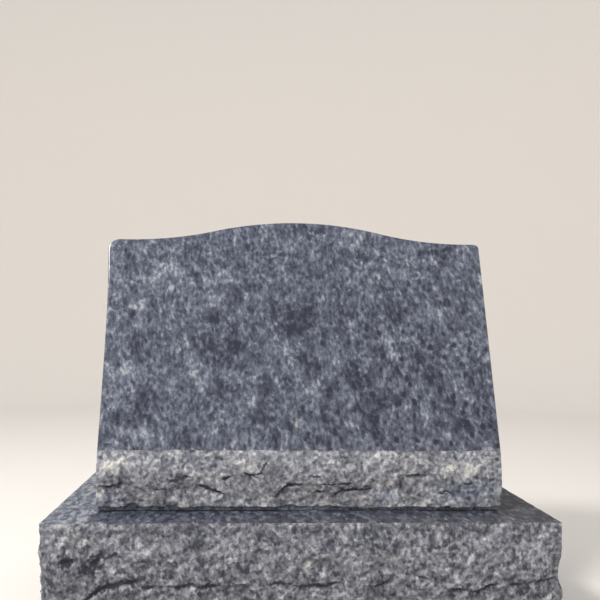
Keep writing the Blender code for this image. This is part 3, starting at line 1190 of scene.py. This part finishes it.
FRONT_CRACKS = (
    Crack(((0.044, 0.38), (0.050, 0.34), (0.062, 0.33)), 31.0, 1.0),
    Crack(((0.080, 0.44), (0.096, 0.40), (0.106, 0.34), (0.116, 0.28)), 31.0, 1.4),
    Crack(((0.113, 0.30), (0.130, 0.31), (0.146, 0.26)), 9.0, 1.2),
    Crack(
        ((0.082, 0.72), (0.100, 0.645), (0.115, 0.60), (0.137, 0.560), (0.160, 0.53), (0.182, 0.52)),
        14.5, 2.0,
    ),
    Crack(((0.196, 0.59), (0.216, 0.58)), 9.5, 1.1),
    Crack(((0.256, 0.58), (0.272, 0.57), (0.289, 0.56)), 11.5, 1.2),
    Crack(((0.297, 0.59), (0.312, 0.585), (0.331, 0.575)), 12.5, 1.3),
    Crack(((0.430, 0.556), (0.475, 0.547)), 7.8, 1.1),
    Crack(((0.476, 0.573), (0.524, 0.58), (0.543, 0.576), (0.568, 0.54)), 8.0, 1.2),
    Crack(((0.634, 0.59), (0.648, 0.56), (0.662, 0.52)), 6.0, 1.4),
    Crack(((0.704, 0.455), (0.725, 0.50), (0.748, 0.54)), 4.6, 0.9),
    Crack(
        ((0.786, 0.62), (0.811, 0.625), (0.835, 0.643), (0.846, 0.625), (0.856, 0.578), (0.875, 0.57)),
        7.0, 1.7,
    ),
    Crack(((0.895, 0.57), (0.919, 0.57)), 5.4, 1.1),
    Crack(((0.944, 0.575), (0.962, 0.533), (0.996, 0.535)), 5.4, 1.1),
    Crack(((0.188, 0.34), (0.203, 0.34)), 6.2, 0.9),
)
FRONT_MARKS = (
    Mark(0.29, 0.20, 32, 6, lift=-0.16, lean=-1.5),
    Mark(0.20, 0.18, 45, 7, lift=0.10),
    Mark(0.06, 0.12, 14, 8, lift=0.12, tint=-0.3),
    Mark(0.10, 0.22, 40, 5, lift=0.08),
    # Painted light and shade: full-width bands lighten the top edge and darken the rows below it.
    Mark(0.50, 0.02, 1500, 2.6, lift=0.09),
    Mark(0.50, 0.075, 1500, 5, lift=-0.07),
    Mark(0.60, 0.20, 1500, 9, lift=-0.04),
    Mark(0.14, 0.42, 22, 9, lift=0.08),
    Mark(0.83, 0.31, 70, 8, lift=0.10),
    Mark(0.60, 0.30, 40, 9, lift=0.06),
    Mark(0.882, 0.15, 32, 13, lift=0.22),
    # Painted shade: a full-width band darkens the lower rows.
    Mark(0.50, 0.62, 1500, 22, lift=-0.04),
    Mark(0.04, 0.50, 34, 36, lift=-0.12),
    Mark(0.545, 0.35, 34, 36, lift=-0.08),
    Mark(0.022, 0.14, 17, 8, lift=0.20),
    Mark(0.080, 0.07, 60, 8, lift=-0.10),
    Mark(0.242, 0.05, 58, 7, lift=-0.11),
    Mark(0.375, 0.21, 22, 9, lift=-0.11),
    Mark(0.5415, 0.09, 29, 11, lift=-0.16),
    Mark(0.557, 0.22, 15, 9, lift=0.13),
    Mark(0.522, 0.30, 15, 8, lift=0.13),
    Mark(0.710, 0.14, 17, 13, lift=-0.17),
    Mark(0.796, 0.32, 20, 12, lift=0.16),
    Mark(0.255, 0.40, 14, 7, lift=0.12),
    Mark(0.305, 0.51, 20, 12, lift=-0.14),
    Mark(0.630, 0.51, 40, 11, lift=-0.14),
    Mark(0.152, 0.60, 26, 12, lift=0.12),
    Mark(0.370, 0.63, 14, 9, lift=0.13),
    Mark(0.796, 0.58, 28, 9, lift=-0.09),
)
FACE_MARKS = (
    Mark(0.68, 0.72, 150, 70, lift=-0.07),
    Mark(0.05, 0.20, 60, 90, lift=0.03),
    Mark(0.345, 0.52, 34, 36, lift=-0.15),
    Mark(0.755, 0.26, 26, 30, lift=-0.10),
    Mark(0.45, 0.24, 26, 26, lift=-0.10),
    Mark(0.85, 0.74, 28, 18, lift=-0.13),
    Mark(0.95, 0.66, 18, 30, lift=-0.09),
    Mark(0.955, 0.40, 16, 24, lift=0.11),
    Mark(0.06, 0.76, 18, 18, lift=0.12),
    Mark(0.155, 0.40, 18, 18, lift=0.10),
    Mark(0.06, 0.655, 9, 24, lift=0.38, lean=0.35),
    Mark(0.23, 0.645, 9, 24, lift=0.52, lean=0.35),
    Mark(0.47, 0.55, 8, 20, lift=0.15, lean=0.35),
    Mark(0.735, 0.52, 8, 19, lift=0.54, lean=0.35),
    Mark(0.09, 0.34, 12, 13, lift=0.30),
    Mark(0.18, 0.16, 20, 16, lift=0.35),
    Mark(0.31, 0.19, 10, 20, lift=0.18),
    Mark(0.20, 0.50, 7, 11, lift=0.26),
    Mark(0.38, 0.79, 10, 13, lift=0.40),
    Mark(0.62, 0.86, 16, 14, lift=0.26),
    Mark(0.86, 0.36, 14, 11, lift=0.54),
    Mark(0.82, 0.88, 8, 22, lift=0.16),
    Mark(0.115, 0.94, 26, 14, lift=0.30),
    Mark(0.165, 0.90, 14, 16, lift=0.14),
    Mark(0.55, 0.91, 14, 13, lift=0.14),
    Mark(0.50, 0.87, 8, 14, lift=0.20),
    Mark(0.27, 0.52, 22, 26, lift=-0.30, lean=0.35),
    Mark(0.33, 0.53, 11, 17, lift=-0.52),
    Mark(0.28, 0.39, 13, 10, lift=-0.68),
    Mark(0.29, 0.73, 15, 14, lift=-0.08),
    Mark(0.49, 0.40, 25, 22, lift=-0.62),
    Mark(0.76, 0.38, 17, 22, lift=-0.42),
    Mark(0.51, 0.59, 9, 17, lift=-0.30),
    Mark(0.07, 0.52, 19, 12, lift=-0.27),
    Mark(0.12, 0.77, 14, 13, lift=-0.32),
    Mark(0.57, 0.76, 9, 20, lift=-0.30, lean=-0.4),
    Mark(0.63, 0.67, 13, 11, lift=-0.56),
    Mark(0.71, 0.76, 20, 17, lift=-0.20),
    Mark(0.69, 0.91, 8, 26, lift=-0.34),
    Mark(0.83, 0.67, 13, 11, lift=-0.42),
    Mark(0.91, 0.89, 12, 12, lift=-0.42),
    Mark(0.42, 0.72, 10, 20, lift=-0.30),
    Mark(0.40, 0.87, 9, 9, lift=-0.23),
    Mark(0.90, 0.05, 10, 9, lift=-0.30),
    Mark(0.84, 0.05, 8, 9, lift=-0.30),
    Mark(0.65, 0.08, 24, 13, lift=-0.28),
    Mark(0.23, 0.04, 11, 8, lift=-0.23),
    Mark(0.33, 0.03, 2.4, 18, lift=0.30),
    Mark(0.614, 0.02, 2.4, 14, lift=0.32, lean=-0.35),
    Mark(0.545, 0.71, 3.0, 26, lift=0.22, lean=-0.38),
    Mark(0.637, 0.46, 2.5, 18, lift=0.30, lean=0.12),
    Mark(0.487, 0.66, 2.5, 20, lift=0.26, lean=0.2),
    Mark(0.487, 0.84, 2.2, 14, lift=0.14, tint=-1.0),
    Mark(0.488, 0.88, 1.6, 7, lift=0.51, tint=-1.0),
    Mark(0.995, 0.17, 5, 6, lift=0.65),
)


def hills(x: np.ndarray, places: Sequence[Vector3]) -> np.ndarray:
    """Single round hills along a line, each given by its place, its height and its half width."""
    return sum(height * np.exp(-(((x - place) / half_width) ** 2)) for place, height, half_width in places)


@dataclass
class Band:
    """A part of every section across the tablet, as rows of points by places across it."""

    y: np.ndarray
    z: np.ndarray
    fields: Fields


@dataclass
class Tablet:
    """The upper stone, in metres from its own foot up and from the nose's plane back."""

    width: float
    foot: float
    crown: float
    nose_y: float
    depth: float = 0.254
    nose_height: float = 0.091
    shoulder_height: float = 0.420
    setback: float = 0.130
    crown_shoulder: float = 0.031
    left_radius: float = 0.019
    left_flare: float = 0.0075
    right_radius: float = 0.008
    undercut_depth: float = 0.0032
    undercut_height: float = 0.0066
    undercut_edge: float = 2 * MM
    # The undercut's painted colour: a lift so that it is less black than its shade renders, a blue tint and
    # a share of the crevice colour for the shade of the gap.
    undercut_painted_light: float = 0.12
    undercut_painted_blue: float = 0.9
    undercut_painted_shade: float = 0.22
    undercut_grit: Layer = Layer(0.5 * MM, 4 * MM, 4 * MM, 84)
    roof_wave: Layer = Layer(4 * MM, 17 * MM, 1.0, 81, level=0.25)
    roof_ragged: Waves = ((0.8 * MM, 6 * MM, 82),)
    bites: tuple[Vector3, ...] = (
        (0.052, 0.007, 0.009), (0.108, 0.003, 0.009), (0.290, 0.003, 0.009), (0.402, -0.0026, 0.045),
        (0.550, -0.0010, 0.060),
    )
    speckle_start: Span = (0.35, 0.2)
    speckle_reach: Span = (0.4, 0.5)
    arris: float = 1.4 * MM
    along_step: float = 1.5 * MM
    nose_step: float = 1.15 * MM
    face_step: float = 8 * MM
    back_step: float = 5 * MM
    corner_steps: int = 8
    arris_steps: int = 4

    @property
    def face_height(self) -> float:
        """How high the shoulders are above the nose's upper edge."""
        return self.shoulder_height - self.nose_height

    @property
    def lean(self) -> float:
        """How far the leaning face runs back for each unit up."""
        return self.setback / self.face_height

    @property
    def slope(self) -> float:
        """The leaning face's length for each unit up."""
        return math.hypot(1, self.lean)

    def crown_height(self, x: np.ndarray) -> np.ndarray:
        """The serpentine above the shoulders: a round crown between two hollow arcs of the same
        radius, all tangent where they meet. The radius is the square of the quarter span plus that
        of half the rise, over the rise.

        Args:
            x: Distances from the middle, in metres.

        Returns:
            Heights above the shoulders.
        """
        rise = self.crown - self.foot - self.shoulder_height
        span = self.width / 2 - self.crown_shoulder
        turn = span / 2
        radius = (turn**2 + (rise / 2) ** 2) / rise
        out = np.minimum(np.abs(x), span)
        round_part = rise - radius + np.sqrt(radius**2 - np.minimum(out, turn) ** 2)
        hollow_part = radius - np.sqrt(radius**2 - np.minimum(span - out, turn) ** 2)
        return np.where(out < turn, round_part, hollow_part)

    def corner_drop(self, x: np.ndarray) -> np.ndarray:
        """How far the round upper corners, quarter circles, fall below the shoulder line at x."""
        radius = np.where(x < 0, self.left_radius, self.right_radius)
        into = np.clip(np.abs(x) - (self.width / 2 - radius), 0, radius)
        return radius - np.sqrt(radius**2 - into**2)

    def top(self, x: np.ndarray) -> np.ndarray:
        """The height of the upper edge above the foot at x."""
        return self.shoulder_height + self.crown_height(x) - self.corner_drop(x)

    def stations(self) -> np.ndarray:
        """Places across the tablet: even angles in the round corners and even steps between them."""
        half = self.width / 2
        turns = np.sin(np.linspace(0, math.pi / 2, self.corner_steps + 1))
        left = -half + self.left_radius * (1 - turns[::-1])
        right = half - self.right_radius * (1 - turns)
        middle = left[-1] + stepped(right[0] - left[-1], self.along_step)
        return np.concatenate([left[:-1], middle, right[1:]])

    def side_inset(self, x: np.ndarray) -> np.ndarray:
        """How far the eased edge along each side draws the section in at x: a quarter circle."""
        into = np.clip(1 - (self.width / 2 - np.abs(x)) / self.arris, 0, 1)
        return self.arris * (1 - np.sqrt(1 - into**2))

    def flared(self, x: np.ndarray, height: np.ndarray) -> np.ndarray:
        """Lets the left side lean out near its top, by the fourth power of the share of the height.

        Args:
            x: Places across the tablet.
            height: Heights above the foot, as rows by places.

        Returns:
            The places, moved outwards on the left, as rows by places.
        """
        share = np.clip((height - self.nose_height) / self.face_height, 0, 1)
        return x - self.left_flare * share**4 * np.clip(-2 * x / self.width, 0, 1) ** 2

    def undercut(self, at: Places, relief: np.ndarray) -> tuple[np.ndarray, np.ndarray]:
        """Cuts the hollow back under the nose. Its roof wavers with the break, and is lifted or
        lowered here and there, by place, height and half width.

        Args:
            at: The places on the nose.
            relief: The nose's relief.

        Returns:
            The relief with the hollow, and how far each place is inside the hollow.
        """
        lifted = np.clip(self.roof_wave.over(at.along, np.zeros(at.along.shape)), 0, None)
        ragged = waves(at.along, self.roof_ragged)
        roof = self.undercut_height + lifted + hills(at.along, self.bites) + ragged
        into = smooth_step((at.down - (self.nose_height - roof)) / self.undercut_edge)
        cut = self.undercut_depth + self.undercut_grit.over(at.along, at.down)
        return relief * (1 - into) - cut * into, into

    def nose(self, x: np.ndarray) -> Band:
        """The pitched nose from its chipped upper edge down, with the undercut at its foot. The sides'
        eased edges draw its ends in, and its lowest row up.

        Args:
            x: Places across the tablet.

        Returns:
            The nose's rows.
        """
        face = PitchedFace(
            length=self.width, height=self.nose_height, proud=13 * MM, peak=0.46, foot=0.55, seed=11,
            ledges=NOSE_LEDGES, cracks=NOSE_CRACKS, marks=NOSE_MARKS, fineness=0.48,
        )
        down, along = np.meshgrid(stepped(face.height, self.nose_step), x + self.width / 2, indexing="ij")
        at = face.places(along, down)
        swell, fine, fields = face.dressed(at)
        relief, hollow = self.undercut(at, swell + fine)
        # Painted light and shade in the undercut: lifted and tinted blue, and mixed towards the dark crevice
        # colour as the shade of the gap.
        fields[Field.TONE] += self.undercut_painted_light * hollow
        fields[Field.TINT] += self.undercut_painted_blue * hollow
        fields[Field.PAINTED_SHADE] = np.maximum(fields[Field.PAINTED_SHADE], self.undercut_painted_shade * hollow)
        chip, inset = face.chips(at.along[0]), self.side_inset(x)
        y, z = self.nose_y - relief + inset, self.nose_height - down
        y[0] += self.lean * chip
        z[0] += chip + inset * (1 - self.slope) / self.lean
        z[-1] += inset
        return Band(y, z, fields)

    def polished(self, x: np.ndarray, nose: Band) -> Band:
        """The leaning face from the nose up, and the eased edge over it, an arc from the face's slope
        to the level. Dark spots grow denser towards the lower right.

        Args:
            x: Places across the tablet.
            nose: The nose, whose upper edge the face starts from.

        Returns:
            The face's and the edge's rows.
        """
        top, inset = self.top(x), self.side_inset(x)
        tilt = math.atan(self.lean)
        turn = np.linspace(tilt, math.pi / 2, self.arris_steps + 1)[:, None]
        corner_y = self.nose_y + self.lean * (top - self.nose_height) + inset * self.slope
        reach = self.arris * math.tan((math.pi / 2 - tilt) / 2)
        arris_y = corner_y + reach - self.arris * np.cos(turn)
        arris_z = top - self.arris + self.arris * np.sin(turn)
        rise = stepped(1.0, self.face_step / (self.slope * self.face_height))[1:-1, None]
        y = np.vstack([nose.y[0] + (arris_y[0] - nose.y[0]) * rise, arris_y])
        z = np.vstack([nose.z[0] + (arris_z[0] - nose.z[0]) * rise, arris_z])
        along = np.broadcast_to(x + self.width / 2, z.shape)
        at = Places(along, self.shoulder_height - z, self.width, self.face_height)
        fields = marked(FACE_MARKS, at)
        to_right = (at.along / at.length - self.speckle_start[0]) / self.speckle_reach[0]
        downwards = (at.down / at.height - self.speckle_start[1]) / self.speckle_reach[1]
        fields[Field.SPECKLE] = smooth_step(to_right) * smooth_step(downwards)
        return Band(y, z, fields)

    def back(self, x: np.ndarray) -> Band:
        """The pitched back from the top down, with scattered ledges.

        Args:
            x: Places across the tablet.

        Returns:
            The back's rows.
        """
        height = self.crown - self.foot
        face = plain_face(14, 33, length=self.width, height=height, peak=0.10, foot=0.75, fineness=0.8)
        top, inset = self.top(x), self.side_inset(x)
        down = stepped(1.0, self.back_step / self.shoulder_height)[:, None] * top
        at = face.places(np.broadcast_to(x + self.width / 2, down.shape), down)
        swell, fine, fields = face.dressed(at)
        y, z = self.nose_y + self.depth + (swell + fine) - inset, top - down
        y[0] -= face.chips(at.along[0])
        z[-1] += inset
        return Band(y, z, fields)

    def build(self) -> bpy.types.Object:
        """Lofts the sections across the tablet. Each runs up the nose, along the leaning face, round
        the eased upper edge, along the top, down the back and along the foot.

        Returns:
            The tablet's object.
        """
        x = self.stations()
        nose, back = self.nose(x), self.back(x)
        face = self.polished(x, nose)
        y = np.vstack([nose.y[::-1], face.y, back.y])
        z = np.vstack([nose.z[::-1], face.z, back.z])
        rings = np.stack([self.flared(x, z), y, z + self.foot], axis=-1).transpose(1, 0, 2)
        fields = {}
        for field in Field:
            rows = [nose.fields[field][::-1], face.fields[field], back.fields[field]]
            fields[field] = np.vstack(rows).T[::-1]
        zones = [Zone.PITCHED] * (len(nose.y) - 1) + [Zone.POLISHED] * (len(face.y) + 1)
        zones += [Zone.PITCHED] * (len(back.y) - 1) + [Zone.SAWN]
        ends = level_strips(rings[0, :, 2], len(nose.y) + len(face.y))
        return closed_loft("granite_tablet", rings[::-1], fields, zones, (Zone.SAWN, Zone.SAWN), ends)


@dataclass(frozen=True)
class BaseSide:
    """One side of the base: where it starts, the way it runs, its pitched face and how finely its
    points are spaced."""

    start: Span
    tangent: tuple[int, int]
    face: PitchedFace
    step: float


@dataclass
class Base:
    """The lower stone, whose four pitched sides are broken back from its sawn top."""

    width: float
    depth: float
    height: float
    corner_batter: float = 3 * MM
    corner_wander: Layer = Layer(2 * MM, 40 * MM, 1.0, 51)
    corner_ragged: tuple[Layer, Layer] = (
        Layer(0.35 * MM, 9 * MM, 1.0, 91), Layer(0.25 * MM, 3.4 * MM, 1.0, 92),
    )
    ragged_edge: float = 6 * MM
    bulging_corner: int = 1
    bulge: Vector3 = (0.102, 5.4 * MM, 0.018)
    corner_reach: float = 30 * MM
    corner_bite: float = 12 * MM
    front_step: float = 1.45 * MM
    other_step: float = 3.2 * MM
    down_step: float = 1.6 * MM

    def corner_inset(self, down: np.ndarray, corner: int) -> np.ndarray:
        """How far a corner lies inside the sawn one above it: a batter that grows with the depth, a
        slow wander as in the solid, and the ragged break of its edge. The front right corner stands
        proud again low down.

        Args:
            down: Distances below the top, in metres.
            corner: The corner's number, from the front left one round by the right.

        Returns:
            The insets.
        """
        number = np.full(down.shape, corner)
        wander = self.corner_wander.over(down, number) * smooth_step(down / self.corner_wander.length)
        inset = self.corner_batter * down / self.height + wander
        ragged = sum(layer.over(down, number) for layer in self.corner_ragged)
        if corner == self.bulging_corner:
            ragged = ragged - hills(down, (self.bulge,))
        return inset + ragged * (1 - np.exp(-down / self.ragged_edge))

    def side(
        self, side: BaseSide, down: np.ndarray, insets: tuple[np.ndarray, np.ndarray]
    ) -> tuple[np.ndarray, Fields]:
        """Columns of points down one side. Towards its ends the swell gives way to the corners.

        Args:
            side: The side.
            down: Distances below the top, in metres.
            insets: The insets of its first and its last corner at those distances.

        Returns:
            Points, as columns by rows by three, and the fields, as columns by rows.
        """
        at = side.face.places(*np.meshgrid(stepped(side.face.length, side.step), down, indexing="ij"))
        from_end = np.minimum(at.along, at.length - at.along)
        inside = smooth_step(from_end / self.corner_reach)
        fine_inside = smooth_step(from_end / self.corner_bite)
        first = at.along < at.length / 2
        inset = np.where(first, insets[0], insets[1]) * (1 - inside)
        slide = at.along + np.where(first, inset, -inset)
        swell, fine, fields = side.face.dressed(at)
        out = swell * inside + fine * fine_inside - inset
        out[:, 0] = -side.face.chips(at.along[:, 0]) * fine_inside[:, 0]
        x = side.start[0] + slide * side.tangent[0] + out * side.tangent[1]
        y = side.start[1] + slide * side.tangent[1] - out * side.tangent[0]
        return np.stack([x, y, self.height - at.down], axis=-1), fields

    def sides(self) -> tuple[BaseSide, ...]:
        """The four sides, from the front round by the right."""
        half_x, half_y = self.width / 2, self.depth / 2
        front = PitchedFace(
            length=self.width, height=self.height, proud=11 * MM, peak=0.50, foot=0.45, seed=51,
            ledges=FRONT_LEDGES, cracks=FRONT_CRACKS, marks=FRONT_MARKS, fineness=0.62,
        )
        sides = [BaseSide((-half_x, -half_y), (1, 0), front, self.front_step)]
        for start, tangent, length, count, seed in (
            ((half_x, -half_y), (0, 1), self.depth, 4, 63),
            ((half_x, half_y), (-1, 0), self.width, 8, 73),
            ((-half_x, half_y), (0, -1), self.depth, 4, 83),
        ):
            face = plain_face(count, seed, length=length, height=self.height, peak=0.45, foot=0.45)
            sides.append(BaseSide(start, tangent, face, self.other_step))
        return tuple(sides)

    def build(self) -> bpy.types.Object:
        """Lofts rings round the base from the ground up to the flat polished top. Each side leaves
        its last column to the next one.

        Returns:
            The base's object.
        """
        sides = self.sides()
        down = stepped(self.height, self.down_step)
        insets = [self.corner_inset(down, corner) for corner in range(len(sides))]
        built = []
        for side, first, last in zip(sides, insets, insets[1:] + insets[:1]):
            built.append(self.side(side, down, (first, last)))
        rings = np.concatenate([points[:-1] for points, _ in built]).transpose(1, 0, 2)[::-1]
        fields = {}
        for field in Field:
            fields[field] = np.concatenate([values[field][:-1] for _, values in built]).T[::-1]
        zones = [Zone.PITCHED] * rings.shape[1]
        end = np.arange(rings.shape[1])[None]
        return closed_loft("granite_base", rings, fields, zones, (Zone.SAWN, Zone.POLISHED), end)


@dataclass
class Marker:
    """The whole marker: both stones and what dresses them."""

    tablet: Tablet
    base: Base

    def build(self) -> None:
        """Builds and dresses both stones, in place of their solids."""
        for node, slot, piece, finishes in (
            ("tablet", "granite_polished", self.tablet.build(), TABLET_FINISHES),
            ("base", "granite_pitched", self.base.build(), BASE_FINISHES),
        ):
            for zone in Zone:
                piece.data.materials.append(finishes[zone].material())
            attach(piece, BODY)
            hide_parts(node)
            LOG.info("%s: %d faces in place of %s", piece.name, len(piece.data.polygons), node)


@dataclass(frozen=True)
class AreaLamp:
    """A square soft light, by its direction and distance from what it is aimed at."""

    name: str
    azimuth: float
    elevation: float
    distance: float
    size: float
    power: float
    colour: Colour

    def place(self, target: Vector) -> None:
        """Puts the lamp on a sphere round its target, azimuth degrees right of the front.

        Args:
            target: What it shines on.
        """
        turn, rise = math.radians(self.azimuth), math.radians(self.elevation)
        away = Vector((math.sin(turn) * math.cos(rise), -math.cos(turn) * math.cos(rise), math.sin(rise)))
        lamp = bpy.data.lights.new(self.name, "AREA")
        lamp.size = self.size
        lamp.energy = self.power
        lamp.color = self.colour
        piece = linked(self.name, lamp)
        piece.location = target + away * self.distance
        piece.rotation_euler = (-away).to_track_quat("-Z", "Y").to_euler()
        LOG.info("%s: %.0f W", self.name, self.power)


@dataclass
class Studio:
    """The plain surroundings: a pale floor that curves up all round, soft lights and the camera."""

    target: Vector
    floor_colour: Colour = (0.86, 0.815, 0.765)
    floor_roughness: float = 0.95
    floor_specular: float = 0.1
    floor_radius: float = 3.0
    curve_radius: float = 1.0
    curve_steps: int = 16
    wall_height: float = 2.8
    wall_target: float = 0.6
    wall_sides: int = 96
    air_colour: Colour = (0.94, 0.97, 1.0)
    air_strength: float = 0.62
    sensor_width: float = 36.0
    image_width: int = 600
    focal_pixels: float = 714.62
    shift_pixels: Span = (-20.0, 70.0)
    camera_place: Vector3 = (-0.0855, -1.1844, 0.4163)
    camera_turn: Vector3 = (0.0484, -0.0483, 0.0099)

    def bowl(self) -> None:
        """The floor and backdrop: a straight floor, a quarter circle and a straight wall, turned
        about the upright axis through the marker."""
        bend = np.linspace(0, math.pi / 2, self.curve_steps + 1)
        curve = self.floor_radius + self.curve_radius * np.sin(bend)
        radius = np.concatenate([[self.floor_radius / 2], curve, curve[-1:]])
        height = np.concatenate([[0.0], self.curve_radius * (1 - np.cos(bend)), [self.wall_height]])
        angle = np.arange(self.wall_sides) * 2 * math.pi / self.wall_sides
        x, y = np.outer(radius, np.cos(angle)), np.outer(radius, np.sin(angle))
        z = np.broadcast_to(height[:, None], x.shape)
        points = np.concatenate([np.stack([x, y, z], axis=-1).reshape(-1, 3), np.zeros((1, 3))])
        quads = ring_quads(len(radius), self.wall_sides)[:, ::-1]
        side = np.arange(self.wall_sides)
        middle = np.full(self.wall_sides, len(points) - 1)
        fan = np.stack([middle, side, (side + 1) % self.wall_sides], axis=-1)
        mesh = bpy.data.meshes.new("studio_bowl")
        mesh.from_pydata(points.tolist(), [], quads.tolist() + fan.tolist())
        mesh.shade_smooth()
        graph = Graph("studio_paper")
        graph.shader.inputs["Base Color"].default_value = (*self.floor_colour, 1.0)
        graph.shader.inputs["Roughness"].default_value = self.floor_roughness
        graph.shader.inputs["Specular IOR Level"].default_value = self.floor_specular
        mesh.materials.append(graph.material)
        obj = linked("studio_bowl", mesh)

    def camera(self) -> None:
        """The camera, from a yaw right of +Y, a pitch above the horizon and a roll, in radians."""
        yaw, pitch, roll = self.camera_turn
        forward = Vector((math.sin(yaw) * math.cos(pitch), math.cos(yaw) * math.cos(pitch), math.sin(pitch)))
        level = Vector((math.cos(yaw), -math.sin(yaw), 0))
        upright = level.cross(forward)
        right = level * math.cos(roll) + upright * math.sin(roll)
        up = upright * math.cos(roll) - level * math.sin(roll)
        data = bpy.data.cameras.new("camera")
        data.sensor_width = self.sensor_width
        data.lens = self.focal_pixels / self.image_width * self.sensor_width
        data.shift_x = -self.shift_pixels[0] / self.image_width
        data.shift_y = self.shift_pixels[1] / self.image_width
        piece = linked("camera", data)
        turned = Matrix((right, up, -forward)).transposed().to_4x4()
        piece.matrix_world = Matrix.Translation(self.camera_place) @ turned
        bpy.context.scene.camera = piece

    def world(self) -> None:
        """An even pale light from all round."""
        world = bpy.data.worlds.new("studio_air")
        world.use_nodes = True
        background = world.node_tree.nodes["Background"]
        background.inputs["Color"].default_value = (*self.air_colour, 1.0)
        background.inputs["Strength"].default_value = self.air_strength
        bpy.context.scene.world = world

    def build(self) -> None:
        """Sets up the camera, the backdrop and the lights, and shows colours as they are."""
        self.camera()
        self.bowl()
        self.world()
        bpy.context.scene.view_settings.view_transform = "Standard"
        wall = Vector((0.0, self.floor_radius, self.wall_target))
        AreaLamp(
            "key_lamp", azimuth=-52.0, elevation=47.0, distance=2.7, size=0.55, power=64.0,
            colour=(1.0, 0.98, 0.96),
        ).place(self.target)
        AreaLamp(
            "fill_lamp", azimuth=55.0, elevation=30.0, distance=3.2, size=2.0, power=10.0,
            colour=(0.94, 0.97, 1.0),
        ).place(self.target)
        AreaLamp(
            "wall_lamp", azimuth=0.0, elevation=42.0, distance=3.2, size=1.6, power=9.0,
            colour=(1.0, 1.0, 1.0),
        ).place(wall)


def main() -> None:
    """Builds the studio and the marker, from the frame's own sizes."""
    logging.basicConfig(level=logging.INFO, format="%(name)s: %(message)s")
    low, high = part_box("tablet")
    base_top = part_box("base")[1].z
    width, depth = high.x - low.x, FRONT_MARGIN + Tablet.depth + REAR_MARGIN
    tablet = Tablet(width=width, foot=low.z, crown=high.z, nose_y=FRONT_MARGIN - depth / 2)
    base = Base(width=width + 2 * SIDE_MARGIN, depth=depth, height=base_top)
    Studio(target=Vector((0, 0, (low.z + high.z) / 2))).build()
    Marker(tablet, base).build()


if __name__ == "__main__":
    main()
